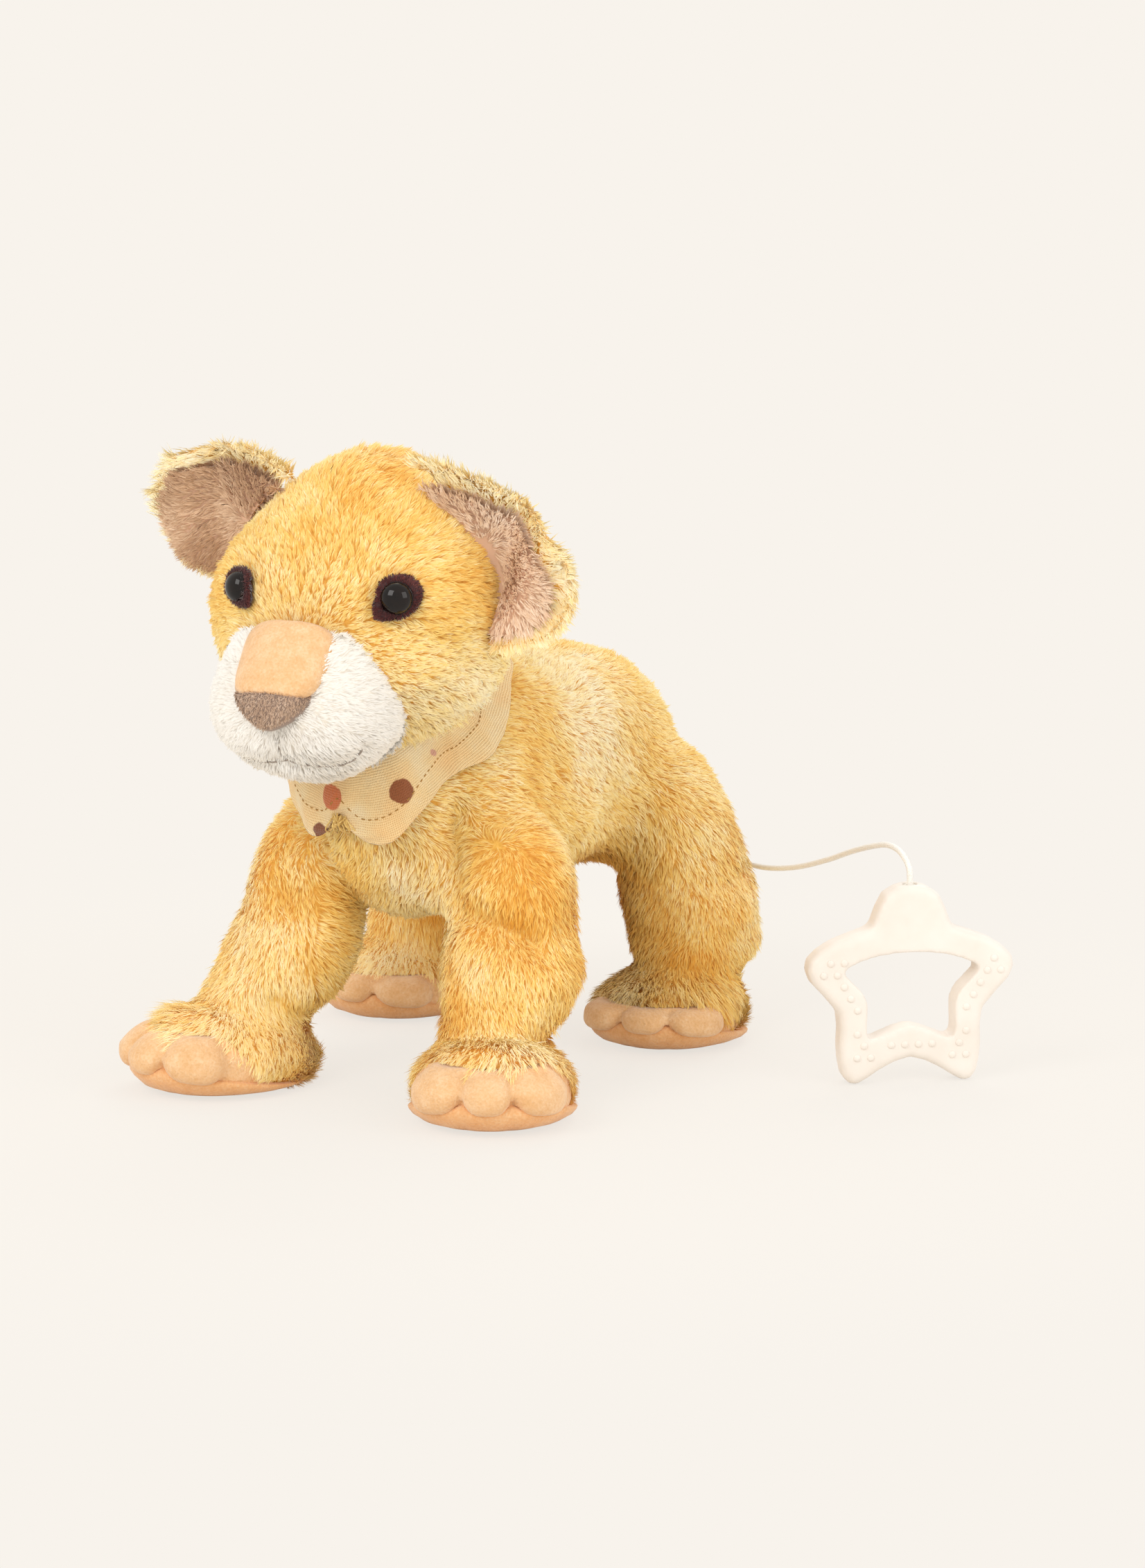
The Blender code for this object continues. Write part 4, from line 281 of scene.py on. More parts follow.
def smooth_route(points, step):
    """Points a step apart on one smooth curve through the given points."""
    rows = [points[0], *points, points[-1]]
    dense = []
    for a, b, c, d in zip(rows, rows[1:], rows[2:], rows[3:]):
        count = max(int((c - b).length / step), 1)
        dense += [between(a, b, c, d, k / count) for k in range(count)]
    dense.append(points[-1])
    return dense


def ring_faces(levels, sides, capped=True):
    """The faces that join rings of points, capped or turned back into themselves."""
    faces = []
    for level in range(levels - (1 if capped else 0)):
        after = (level + 1) % levels
        for k in range(sides):
            n = (k + 1) % sides
            faces.append((level * sides + k, level * sides + n, after * sides + n,
                          after * sides + k))
    if capped:
        faces += [tuple(range(sides - 1, -1, -1)),
                  tuple(range((levels - 1) * sides, levels * sides))]
    return faces


def tube(points, radius_at, sides):
    """A closed tube along points; radius_at(distance, angle) gives its skin."""
    verts = []
    side_way = (points[1] - points[0]).orthogonal().normalized()
    run = 0.0
    for k, point in enumerate(points):
        ahead = (points[min(k + 1, len(points) - 1)] - points[max(k - 1, 0)]).normalized()
        side_way = (side_way - ahead * side_way.dot(ahead)).normalized()
        across = ahead.cross(side_way)
        run += (point - points[k - 1]).length if k else 0.0
        for s in range(sides):
            angle = 2 * math.pi * s / sides
            verts.append(point + (side_way * math.cos(angle) + across * math.sin(angle))
                         * radius_at(run, angle))
    return verts, ring_faces(len(points), sides)


def tube_piece(name, points, radius_at, sides, finish_used):
    return add_piece(name, mesh_of(name, *tube(points, radius_at, sides)), finish_used)


def braid(run, angle):
    turn = 2 * math.pi * run / BRAID_PITCH
    ridges = max(math.cos(BRAID_RIDGES * angle + BRAID_RIDGES * turn),
                 math.cos(BRAID_RIDGES * angle - BRAID_RIDGES * turn))
    return CORD_DIAMETER / 2 * (1.0 - BRAID_DEPTH + BRAID_DEPTH * ridges)


cord_finish = finish("braided_polyester", Base_Color=shade("#F1ECE4"), Roughness=0.6,
                     Sheen_Weight=0.25, Sheen_Roughness=0.4, Specular_IOR_Level=0.35)
strands = over_piece(cord_finish, "TexNoise", Scale=2600.0, Detail=2.0)
tint(cord_finish, strands, ((0.3, "#EEE9E0"), (0.6, "#FCFAF5")))
dent(cord_finish, strands.outputs[0], 0.25, 0.2 * MM)
cord_points = [LION + Vector(point) for point in CORD_ROUTE]
cord = tube_piece("pull_cord_braid", smooth_route(cord_points, BRAID_STEP), braid, CORD_SIDES,
                  cord_finish)
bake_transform(cord)
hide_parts("pull_cord")

inner_low, inner_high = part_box("cord_inner")
inner_middle = (inner_low + inner_high) / 2
inner_run = [Vector((inner_middle.x, y, inner_middle.z))
             for y in np.linspace(inner_high.y, inner_low.y, INNER_STEPS)]
inner_cord = tube_piece("cord_inside", inner_run, braid, CORD_SIDES, cord_finish)
fit(inner_cord, "braided_cord", "cord_inner")


# Body: one sewn skin of golden plush round polyester filling, which takes in the torso, the
# legs and the tops of the paws. Seams and folds pull it in at the shoulders, knees and ankles.
BODY_NODES = ["torso"] + [part + place for part in ("leg_", "paw_") for place in
                          ("front_left", "front_right", "rear_left", "rear_right")]
BODY_VOXEL = 2.4 * MM
BODY_ROUNDS = 7
BODY_INSET = 3.6 * MM
LUMP_SIZE = 26 * MM
LUMP_DEPTH = 1.3 * MM


def at(x, y, z):
    """A place in the lion's own frame, in millimetres, brought into the scene."""
    return LION + Vector((x, y, z)) * MM


def local(points):
    """Places in the scene brought into the lion's own frame, as three rows of millimetres."""
    return ((points - np.array(LION)) / MM).T


def unit(rows):
    return rows / np.maximum(np.linalg.norm(rows, axis=1, keepdims=True), 1e-9)


def waves(points, size, seed):
    """A soft random field over space, with bumps of about one size, mostly from -1 to 1."""
    rng = np.random.default_rng(seed)
    total = np.zeros(len(points))
    for _ in range(10):
        way = rng.normal(size=3)
        way *= 2 * math.pi / (np.linalg.norm(way) * size * rng.uniform(1.2, 2.6))
        total += np.sin(points @ way + rng.uniform(0, 2 * math.pi))
    return total / 4


def read_skin(mesh):
    """Vertices and their normals as arrays."""
    points = np.empty(len(mesh.vertices) * 3)
    mesh.vertices.foreach_get("co", points)
    normals = np.empty(len(mesh.vertices) * 3)
    mesh.vertex_normals.foreach_get("vector", normals)
    return points.reshape(-1, 3), normals.reshape(-1, 3)


def write_skin(mesh, points):
    mesh.vertices.foreach_set("co", points.ravel())
    mesh.update()


def relax(mesh, rounds):
    """Evens a skin out, as filling does."""
    points, _ = read_skin(mesh)
    edges = np.empty(len(mesh.edges) * 2, dtype=int)
    mesh.edges.foreach_get("vertices", edges)
    a, b = edges.reshape(-1, 2).T
    count = np.bincount(np.concatenate([a, b]), minlength=len(points))[:, None]
    for _ in range(rounds):
        total = np.stack([np.bincount(np.concatenate([a, b]),
                                      np.concatenate([points[b, k], points[a, k]]),
                                      len(points)) for k in range(3)], axis=1)
        points += 0.5 * (total / np.maximum(count, 1) - points)
    write_skin(mesh, points)


def soft_skin(name, sources, voxel, inset, rounds, finish_used, overlap=0.6 * MM):
    """One even closed skin round solids of the frame, drawn in by the depth of its pile."""
    bm = bmesh.new()
    for source in sources:
        part = bmesh.new()
        part.from_mesh(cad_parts[source].data)
        bmesh.ops.remove_doubles(part, verts=part.verts, dist=MM / 100)
        part.normal_update()
        for vertex in part.verts:
            vertex.co += vertex.normal * overlap
        grown = bpy.data.meshes.new("part")
        part.to_mesh(grown)
        part.free()
        bm.from_mesh(grown)
    mesh = bpy.data.meshes.new(name)
    bm.to_mesh(mesh)
    bm.free()
    piece = add_piece(name, mesh)
    shape = piece.modifiers.new("even", "REMESH")
    shape.mode, shape.voxel_size = "VOXEL", voxel
    even = bpy.data.meshes.new_from_object(
        piece.evaluated_get(bpy.context.evaluated_depsgraph_get()))
    piece.modifiers.clear()
    # Only the outer skin stays, not the walls that the solids had inside.
    bm = bmesh.new()
    bm.from_mesh(even)
    islands, seen = [], set()
    for start in bm.verts:
        if start in seen:
            continue
        island, queue = [], [start]
        seen.add(start)
        while queue:
            vertex = queue.pop()
            island.append(vertex)
            for edge in vertex.link_edges:
                other = edge.other_vert(vertex)
                if other not in seen:
                    seen.add(other)
                    queue.append(other)
        islands.append(island)
    islands.sort(key=len)
    bmesh.ops.delete(bm, geom=[v for island in islands[:-1] for v in island], context="VERTS")
    bm.to_mesh(even)
    bm.free()
    piece.data = even
    even.name = name
    even.materials.append(finish_used)
    even.polygons.foreach_set("use_smooth", np.ones(len(even.polygons), dtype=bool))
    relax(even, rounds)
    points, normals = read_skin(even)
    write_skin(even, points - normals * (inset + overlap))
    return piece


def hill(value, middle, reach):
    """1 in the middle, falling off over the reach."""
    return np.exp(-((value - middle) / reach)**2)


def nearness(points, run, reach):
    """1 on a line through some places, falling off over the reach."""
    nearest = np.full(len(points), np.inf)
    for a, b in zip(run, run[1:]):
        a, b = np.array(a), np.array(b)
        share = np.clip(((points - a) @ (b - a)) / ((b - a) @ (b - a)), 0, 1)
        nearest = np.minimum(nearest, np.linalg.norm(points - a - share[:, None] * (b - a), axis=1))
    return hill(nearest, 0, reach)


def crease(mesh, run, depth, reach):
    """Pulls a skin in along a line, as a seam or a fold does."""
    points, normals = read_skin(mesh)
    write_skin(mesh, points - normals * (depth * nearness(points, run, reach))[:, None])


def backing(name, code):
    """The woven ground that a pile stands in."""
    return finish(name, Base_Color=shade(code), Roughness=0.95, Specular_IOR_Level=0.1)


gold_backing = backing("gold_backing", "#E2B058")
tint(gold_backing, over_piece(gold_backing, "TexNoise", Scale=900.0),
     ((0.3, "#DDA247"), (0.7, "#F1C062")))


def lumpy(points, seed):
    """The soft lumps of the filling under a skin."""
    return waves(points, LUMP_SIZE, seed) + 0.4 * waves(points, LUMP_SIZE / 3, seed + 1)


body = soft_skin("plush_body", BODY_NODES, BODY_VOXEL, BODY_INSET, BODY_ROUNDS, gold_backing)
points, normals = read_skin(body.data)
points += normals * (LUMP_DEPTH * lumpy(points, 1))[:, None]
x, y, z = local(points)


def climb(value, low, high):
    """0 at low, 1 at high, and straight between; high may be the smaller one."""
    return np.clip((value - low) / (high - low), 0, 1)


def ease(value, low, high):
    """0 below low, 1 above high, and smooth between."""
    share = climb(value, low, high)
    return share * share * (3 - 2 * share)


LEG_LEAN = 6.5 * MM
# Front and rear legs: the heights over which the lean grows and fades, and its left and right
# shares.
LEG_LEANS = {True: ((24, 48), (84, 124), (1.0, 1.2)), False: ((12, 34), (62, 98), (1.05, 0.0))}
LEAN_ASIDE = (12, 24)
MIDDLE_Y = 20
BELLY_SAG = 7.0 * MM
SAG_ACROSS = (0, 26)
SAG_ALONG = (-32, 30)
SAG_UNDER = (70, 96)
NECK_MIDDLE = Vector((0.0, -38.0, 118.0)) * MM
NECK_TILT = math.radians(34.0)
NECK_WAY = Vector((0.0, -math.sin(NECK_TILT), math.cos(NECK_TILT)))
CHIN_WAY = Vector((0.0, -math.cos(NECK_TILT), -math.sin(NECK_TILT)))
NECK_PULL = 9.5 * MM
NECK_PUSH = 4.0 * MM
NECK_FROM = (26, 74)
NECK_TO = (125, 165)
NECK_BAND = (11, 14)
PAW_ASIDE = 50
PAW_MIDDLES = (-64.0, 70.0)
TOE_REACH = 22
PAW_PUFF = 3.0 * MM
PAW_PUFF_FROM = (20, 27)
PAW_PUFF_TO = (34, 42)
ANKLE_PUFF = 3.4 * MM
ANKLE_FROM = (25, 34)
ANKLE_TO = 44
ANKLE_TOPS = (64, 76)
ANKLE_SHARES = (1.0, 0.8)


def toeward(x, y):
    """1 over the toes of a paw and 0 over its heel, at a place in millimetres."""
    aside, along = np.abs(x) - PAW_ASIDE, y - np.where(y < 0, *PAW_MIDDLES)
    return climb(0.3 * aside - 0.95 * along, 0, TOE_REACH)


def neck_pull(turn, height):
    """How far the band draws the neck in, by the turn from the chin and the height up it."""
    off = np.abs(np.degrees(turn))
    return (np.where(turn > 0, NECK_PULL, -NECK_PUSH) * ease(off, *NECK_FROM)
            * (1 - ease(off, *NECK_TO)) * hill(height / MM, *NECK_BAND))


# The legs lean to the right of the picture between ankle and thigh, but not the far rear one.
lean = np.zeros(len(points))
for front, (grows, fades, shares) in LEG_LEANS.items():
    part = ease(z, *grows) * (1 - ease(z, *fades)) * np.where(x > 0, *shares)
    lean = np.where((y < MIDDLE_Y) == front, part, lean)
lean *= ease(np.abs(x), *LEAN_ASIDE)
points += np.array(CAMERA_RIGHT) * (LEG_LEAN * lean)[:, None]
# The belly sags behind the front legs, and the band draws the neck in.
sag = hill(x, *SAG_ACROSS) * hill(y, *SAG_ALONG) * (1 - ease(z, *SAG_UNDER))
points[:, 2] -= BELLY_SAG * sag
from_neck = points - np.array(LION + NECK_MIDDLE)
height = from_neck @ np.array(NECK_WAY)
sideways = from_neck - height[:, None] * np.array(NECK_WAY)
turn = np.arctan2(sideways[:, 0], sideways @ np.array(CHIN_WAY))
points -= unit(sideways) * neck_pull(turn, height)[:, None]
# The paws are full over their toes, and so are the ankles.
x, y, z = local(points)
points += normals * (PAW_PUFF * toeward(x, y) * ease(z, *PAW_PUFF_FROM)
                     * (1 - ease(z, *PAW_PUFF_TO)))[:, None]
ahead = y < MIDDLE_Y
points += normals * (ANKLE_PUFF * np.where(ahead, *ANKLE_SHARES) * ease(z, *ANKLE_FROM)
                     * (1 - ease(z, ANKLE_TO, np.where(ahead, *ANKLE_TOPS))))[:, None]
write_skin(body.data, points)

# Each fold: the places it runs through, its depth and its reach, in millimetres.
BODY_FOLDS = (
    (((41, -62, 69), (49, -63, 67), (54, -62, 65.5), (59, -61, 64), (64, -58, 61)), 6.0, 4.5),
    (((29, -52, 101), (30, -55, 90), (32, -58, 80), (34, -60, 68)), 5.5, 4.5),
    (((76, -48, 34), (70, -74, 33), (52, -82, 33), (34, -76, 33), (28, -58, 34)), 3.4, 4.0),
    (((-76, -48, 34), (-70, -74, 33), (-52, -82, 33), (-34, -76, 33), (-28, -58, 34)), 3.4, 4.0),
    (((84, 78, 36), (78, 50, 33), (56, 44, 32), (36, 52, 34)), 2.4, 5.0),
    (((-84, 78, 36), (-78, 50, 33), (-56, 44, 32), (-36, 52, 34)), 2.4, 5.0),
    (((46, 40, 138), (52, 44, 116), (52, 48, 96), (50, 44, 76)), 3.2, 5.0),
    (((-46, 40, 138), (-52, 44, 116), (-52, 48, 96), (-50, 44, 76)), 2.2, 5.0),
    (((44, 22, 132), (50, 20, 112), (48, 24, 92)), 1.2, 4.0),
    (((-70, -66, 66), (-62, -72, 62), (-50, -74, 61), (-38, -70, 63)), 1.6, 4.5),
    (((-26, -40, 104), (-33, -58, 92), (-34, -66, 78), (-32, -62, 66)), 3.0, 5.0),
)
for run, depth, reach in BODY_FOLDS:
    crease(body.data, [at(*place) for place in run], depth * MM, reach * MM)
fit(body, "gold_plush", *BODY_NODES, fill=0.85)


# Toes and soles: each paw has a padded panel of peach velour with three toes drawn up by two
# lines of stitching, and a flat sole of the same velour, sewn to it all round.
PAW_WIDTH = 67.0 * MM
PAW_LENGTH = 77.0 * MM
PAW_HEIGHT = 34.0 * MM
# How wide a paw is at each share of its height.
PAW_SHARES = ((0.00, 0.84), (0.08, 0.95), (0.24, 1.00), (0.46, 0.98), (0.72, 0.80), (0.92, 0.42))
HEEL_SLIM = 0.10
TOE_SPANS = ((-36.0, 20.0), (0.0, 16.0), (36.0, 20.0))
TOE_SWELL = 6.4 * MM
TOE_SET_IN = 3.2 * MM
TOE_PANEL = (48.0, 92.0)
HEEL_FROM = (56.0, 84.0)
SEAM_GAP = 0.8 * MM
SEAM_LAP = 0.4 * MM
SOLE_LIFT = 0.3 * MM
TOE_PANEL_DEPTH = 5.5 * MM
HEEL_TUCK = 5.0 * MM
SCALLOP = 1.7 * MM
SOLE_FRONT = 9.4 * MM
SOLE_BACK = 2.0 * MM
HEEL_DRAW = 3.8 * MM
# Each ring of a sole: the share of its height, and how far it stands out, in millimetres.
SOLE_PROFILE = ((0.0, -22.0), (0.0, -13.0), (0.04, -8.6), (0.14, -5.6), (0.32, -3.2),
                (0.55, -1.7), (0.80, -1.0), (0.96, -1.0), (1.06, -1.6), (1.1, -3.4), (1.1, -22.0))
PAW_TURNS = 168
TOE_ROWS = 22
# Each paw: its middle, its splay in degrees and the height of the seam over its toes.
PAWS = {"front_left": (51.98, -67.05, 24.0, 22.5 * MM),
        "front_right": (-51.98, -67.05, -24.0, 22.5 * MM),
        "rear_left": (55.03, 68.11, 8.0, 17.5 * MM), "rear_right": (-55.03, 68.11, -8.0, 18.5 * MM)}
levels, level_shares = zip(*PAW_SHARES)


def paw_skin(angle, height, swell):
    """A place on the paw's skin, by the turn from its toes and the height over the floor."""
    share = np.interp(height / PAW_HEIGHT, levels, level_shares)
    share *= 1.0 - HEEL_SLIM * (0.5 - 0.5 * math.cos(angle))
    return Vector((math.sin(angle) * (PAW_WIDTH / 2 * share + swell),
                   -math.cos(angle) * (PAW_LENGTH / 2 * share + swell), height))


def into_toe(angle):
    """How near a turn is to the middle of its toe: 1 there, and 0 in a groove."""
    off = math.degrees(angle)
    return max(0.0, *(1 - abs(off - middle) / half for middle, half in TOE_SPANS))


def sole_line(angle):
    """The height of the seam between toes and sole, which dips under each toe."""
    front = 0.5 + 0.5 * math.cos(angle)
    return (SOLE_BACK + (SOLE_FRONT - SOLE_BACK) * front**2
            + SCALLOP * front**4 * (1 - min(2.4 * into_toe(angle), 1.0)))


def panel_top(angle, toe_top):
    """The height of the seam between toes and plush: high over the toes, low at the heel."""
    low = sole_line(angle) + SEAM_GAP
    return low + (toe_top - low) * (1 - ease(abs(math.degrees(angle)), *TOE_PANEL))


def toe_swell(angle, up):
    """How far the toes stand out: three round cushions with stitched grooves between them."""
    best = max(1 - (1 - into_toe(angle))**2.2 - (abs(up - 0.5) / 0.56)**2.6, 0.0)**0.5
    heel = ease(abs(math.degrees(angle)), *HEEL_FROM)
    return (TOE_SWELL * best - TOE_SET_IN) * (1 - heel) - HEEL_TUCK * heel


def face_outward(mesh):
    """Turns the faces of a closed form outward."""
    bm = bmesh.new()
    bm.from_mesh(mesh)
    bmesh.ops.recalc_face_normals(bm, faces=bm.faces)
    bm.to_mesh(mesh)
    bm.free()
    return mesh


def ring_piece(name, rows, capped, finish_used):
    """A piece of rings of points, joined into a closed form and capped or turned back inside."""
    verts = [point for row in rows for point in row]
    mesh = mesh_of(name, verts, ring_faces(len(rows), len(rows[0]), capped))
    return add_piece(name, face_outward(mesh), finish_used)


def tree_of(piece):
    mesh = piece.data
    return BVHTree.FromPolygons([v.co.copy() for v in mesh.vertices],
                                [tuple(p.vertices) for p in mesh.polygons])


def velour(name, stops, relief=0.8):
    """Velour: a pile under a millimetre, shown by its fine grain, its mottling and its bloom."""
    material = finish(name, Roughness=0.85, Specular_IOR_Level=0.12, Sheen_Weight=0.35,
                      Sheen_Roughness=0.5)
    grain = over_piece(material, "TexNoise", Scale=1150.0, Detail=2.0)
    mottle = over_piece(material, "TexNoise", Scale=190.0, Detail=3.0)
    tint(material, node(material, "Mix", {2: grain.outputs[0], 3: mottle.outputs[0]}, {0: 0.5}),
         stops)
    dent(material, grain.outputs[0], relief, 0.5 * MM)
    return material


turns = [2 * math.pi * k / PAW_TURNS - math.pi for k in range(PAW_TURNS)]
peach_velour = velour("peach_velour_cloth", ((0.3, "#E5B27A"), (0.5, "#EFC290"), (0.7, "#F8D4AA")))
sole_velour = velour("sole_velour_cloth", ((0.3, "#E6A96E"), (0.5, "#EFB881"), (0.7, "#F6C998")))
paw_trees = {}
for label, (x, y, splay, toe_top) in PAWS.items():
    paw_place = Matrix.Translation(at(x, y, 0)) @ Matrix.Rotation(math.radians(splay), 4, "Z")
    levels_up = [(row / TOE_ROWS, toe_swell) for row in range(TOE_ROWS + 1)]
    levels_up += [(up, lambda turn, up: -TOE_PANEL_DEPTH) for up in (1.0, 0.5, 0.0)]
    rows = [[paw_place @ paw_skin(turn, (sole_line(turn) - SEAM_LAP) * (1 - up)
                                  + panel_top(turn, toe_top) * up, swell(turn, up))
             for turn in turns] for up, swell in levels_up]
    toes = ring_piece("toes_" + label + "_velour", rows, False, peach_velour)
    fit(toes, "peach_velour", "toes_" + label, fill=0.8)
    rows = [[paw_place @ paw_skin(turn, SOLE_LIFT + share * sole_line(turn), draw * MM
                                  - HEEL_DRAW * (0.5 - 0.5 * math.cos(turn))**1.5)
             for turn in turns] for share, draw in SOLE_PROFILE]
    sole = ring_piece("sole_" + label + "_velour", rows, True, sole_velour)
    fit(sole, "peach_velour", "sole_" + label, fill=0.7)
    paw_trees[label] = [tree_of(toes), tree_of(sole)]


# Bandana: one band of loose double muslin in a warm sand shade, printed with a few plain dots.
# It is hemmed along its lower edge, wraps the neck and is gathered under the chin.
MUSLIN_SIDES = 400
MUSLIN_LEVELS = 44
MUSLIN_THICKNESS = 0.9 * MM
MUSLIN_LIFT = 0.7 * MM
GATHER_TURN = math.radians(-4.5)
THREAD_STEP = 0.68 * MM
WARP_THREADS = 384
HEM_UP = 8.5 * MM
BAND_TOP = (15.0, 9.0)
BAND_FOOT = (5.0, -9.0)
HEM_WAVES = ((9.5, 0.0, 7.5), (6.5, 58.0, 27.0))
LOBE = (20, 12)
PINCH_REACH = 4.0
PUCKERS = 7
PUCKER_FADE = 12.0
NECK_ARC = 1 / 3.2
BAND_HEIGHT = 22
# Each printed dot: turn from the chin, place down the band, radius in millimetres, ink.
DOTS = ((31, 0.54, 4.2, "#8E4524"), (-9, 0.60, 4.4, "#CF6A3C"), (-15, 0.94, 3.2, "#7E3B24"),
        (60, 0.50, 1.2, "#D9A08C"), (-54, 0.45, 4.2, "#CF6A3C"), (-96, 0.60, 4.4, "#8E4524"),
        (150, 0.40, 4.2, "#CF6A3C"), (-140, 0.40, 3.8, "#8E4524"), (-176, 0.50, 4.0, "#8E4524"))
NECK_SPACE = 0.2
torso_tree = tree_of(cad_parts["torso"])


def neck_at(angle, height, lift):
    """A place over the neck's plush, by the turn from the chin and the height up the neck."""
    way = Vector((math.sin(angle), 0, 0)) + CHIN_WAY * math.cos(angle)
    start = LION + NECK_MIDDLE + NECK_WAY * height + way * NECK_SPACE
    lift -= neck_pull((angle + math.pi) % (2 * math.pi) - math.pi, height)
    return torso_tree.ray_cast(start, -way)[0] + way * lift


def muslin_at(angle, down, over=0.0):
    """A place on the band: down runs from its upper edge at 0 to its hem at 1."""
    front = 0.5 + 0.5 * math.cos(angle)
    signed = math.degrees((angle - GATHER_TURN + math.pi) % (2 * math.pi) - math.pi)
    off = abs(signed)
    top = (BAND_TOP[0] + BAND_TOP[1] * front) * MM
    bottom = (BAND_FOOT[0] + BAND_FOOT[1] * front + sum(
        lift * hill(off, middle, reach) for lift, middle, reach in HEM_WAVES)) * MM
    fold = 1.0 * (0.5 + 0.5 * math.cos(angle * 11 + 2 * down)) * front * (0.35 + 0.65 * down)
    lobe = 3.6 * down**2 * hill(off, *LOBE)
    pinch = 1.3 * hill(off, 0, PINCH_REACH) * down
    reach = math.hypot(off * NECK_ARC, (1 - down) * BAND_HEIGHT)
    spoke = math.atan2(signed * NECK_ARC, (1 - down) * BAND_HEIGHT + 0.5)
    pucker = (1.3 * math.cos(PUCKERS * spoke) * math.exp(-reach / PUCKER_FADE)
              * min(reach / 5, 1))
    edge = 0.4 * max(down - 0.82, 0) / 0.18 * math.cos(angle * 17)
    hem = 0.25 if down > 1 - HEM_UP / max(top - bottom, MM) else 0.0
    lift = MUSLIN_LIFT + (fold + lobe - pinch + pucker + edge + hem) * MM + over
    return neck_at(angle, top + (bottom - top) * down, max(lift, 0.5 * MM + over))


muslin_verts, muslin_faces, muslin_places = [], [], []
for face, over in ((0, MUSLIN_THICKNESS), (1, 0.0)):
    for level in range(MUSLIN_LEVELS + 1):
        down = level / MUSLIN_LEVELS
        for k in range(MUSLIN_SIDES):
            edge_over = MUSLIN_THICKNESS * (0.7 if face == 0 else 0.3)
            muslin_verts.append(muslin_at(2 * math.pi * k / MUSLIN_SIDES, down,
                                          edge_over if level in (0, MUSLIN_LEVELS) else over))
skin_rows = [list(range(k * MUSLIN_SIDES, (k + 1) * MUSLIN_SIDES))
             for k in range(2 * (MUSLIN_LEVELS + 1))]
loop_rows = skin_rows[:MUSLIN_LEVELS + 1] + skin_rows[MUSLIN_LEVELS + 1:][::-1]
for step in range(len(loop_rows)):
    upper, lower = loop_rows[step], loop_rows[(step + 1) % len(loop_rows)]
    high_place = 1 - step / len(loop_rows)
    low_place = 1 - (step + 1) / len(loop_rows)
    for k in range(MUSLIN_SIDES):
        n = (k + 1) % MUSLIN_SIDES
        muslin_faces.append((upper[k], lower[k], lower[n], upper[n]))
        muslin_places += [(k / MUSLIN_SIDES, high_place), (k / MUSLIN_SIDES, low_place),
                          ((k + 1) / MUSLIN_SIDES, low_place),
                          ((k + 1) / MUSLIN_SIDES, high_place)]
muslin_mesh = mesh_of("muslin_band", muslin_verts, muslin_faces)
chart = muslin_mesh.uv_layers.new(name="OFBake")
chart.uv.foreach_set("vector", np.array(muslin_places, dtype=np.float32).ravel())

muslin_finish = finish("apricot_muslin", Roughness=0.9, Specular_IOR_Level=0.15, Sheen_Weight=0.3,
                       Sheen_Roughness=0.5)
place = node(muslin_finish, "UVMap", uv_map="OFBake").outputs[0]
around = node(muslin_finish, "TexCoord").outputs["Object"]
waver = node(muslin_finish, "TexNoise", {"Vector": around}, {"Scale": 120.0, "Detail": 1.0})
shift = node(muslin_finish, "SeparateXYZ", {0: waver.outputs["Color"]})
split = node(muslin_finish, "SeparateXYZ", {0: place})
rise = node(muslin_finish, "VectorMath", {0: around}, {1: NECK_WAY}, operation="DOT_PRODUCT")


def thread_wave(source, turns, amount, channel):
    """A cosine across the threads, whose lines waver a little."""
    turned = node(muslin_finish, "Math", {0: source}, {1: 2 * math.pi * turns},
                  operation="MULTIPLY")
    moved = node(muslin_finish, "Math", {0: shift.outputs[channel], 2: turned.outputs[0]},
                 {1: amount}, operation="MULTIPLY_ADD")
    return node(muslin_finish, "Math", {0: moved.outputs[0]}, operation="COSINE").outputs[0]


warp = thread_wave(split.outputs[0], WARP_THREADS, 5.0, 0)
weft = thread_wave(rise.outputs["Value"], 1 / THREAD_STEP, 5.0, 1)
crossing = node(muslin_finish, "Math", {0: warp, 1: weft}, operation="ADD").outputs[0]
half_warp = thread_wave(split.outputs[0], WARP_THREADS / 2, 2.5, 0)
half_weft = thread_wave(rise.outputs["Value"], 0.5 / THREAD_STEP, 2.5, 1)
over_under = node(muslin_finish, "Math", {0: half_warp, 1: half_weft},
                  operation="MULTIPLY").outputs[0]
cloudy = node(muslin_finish, "TexNoise", {"Vector": around}, {"Scale": 60.0, "Detail": 3.0})
sand = ramp(muslin_finish, cloudy.outputs[0],
            ((0.3, "#FFD69A"), (0.5, "#FFE1AA"), (0.7, "#FFEDC4")))
gap_share = node(muslin_finish, "MapRange", {0: crossing}, {1: -1.9, 2: -0.3, 3: 0.7, 4: 0.0})
woven = node(muslin_finish, "Mix", {0: gap_share.outputs[0], 6: sand}, {7: shade("#D09048")},
             data_type="RGBA").outputs[2]
blot = node(muslin_finish, "TexNoise", {"Vector": around}, {"Scale": 320.0, "Detail": 2.0})
for turn, down, radius, code in DOTS:
    centre = muslin_at(math.radians(turn), down, MUSLIN_THICKNESS)
    gone = node(muslin_finish, "VectorMath", {0: around}, {1: centre}, operation="DISTANCE")
    rough = node(muslin_finish, "Math", {0: blot.outputs[0], 2: gone.outputs["Value"]},
                 {1: 1.6 * MM}, operation="MULTIPLY_ADD")
    inked = node(muslin_finish, "MapRange", {0: rough.outputs[0]},
                 {1: (radius + 0.6) * MM, 2: (radius + 1.1) * MM, 3: 0.92, 4: 0.0})
    woven = node(muslin_finish, "Mix", {0: inked.outputs[0], 6: woven}, {7: shade(code)},
                 data_type="RGBA").outputs[2]
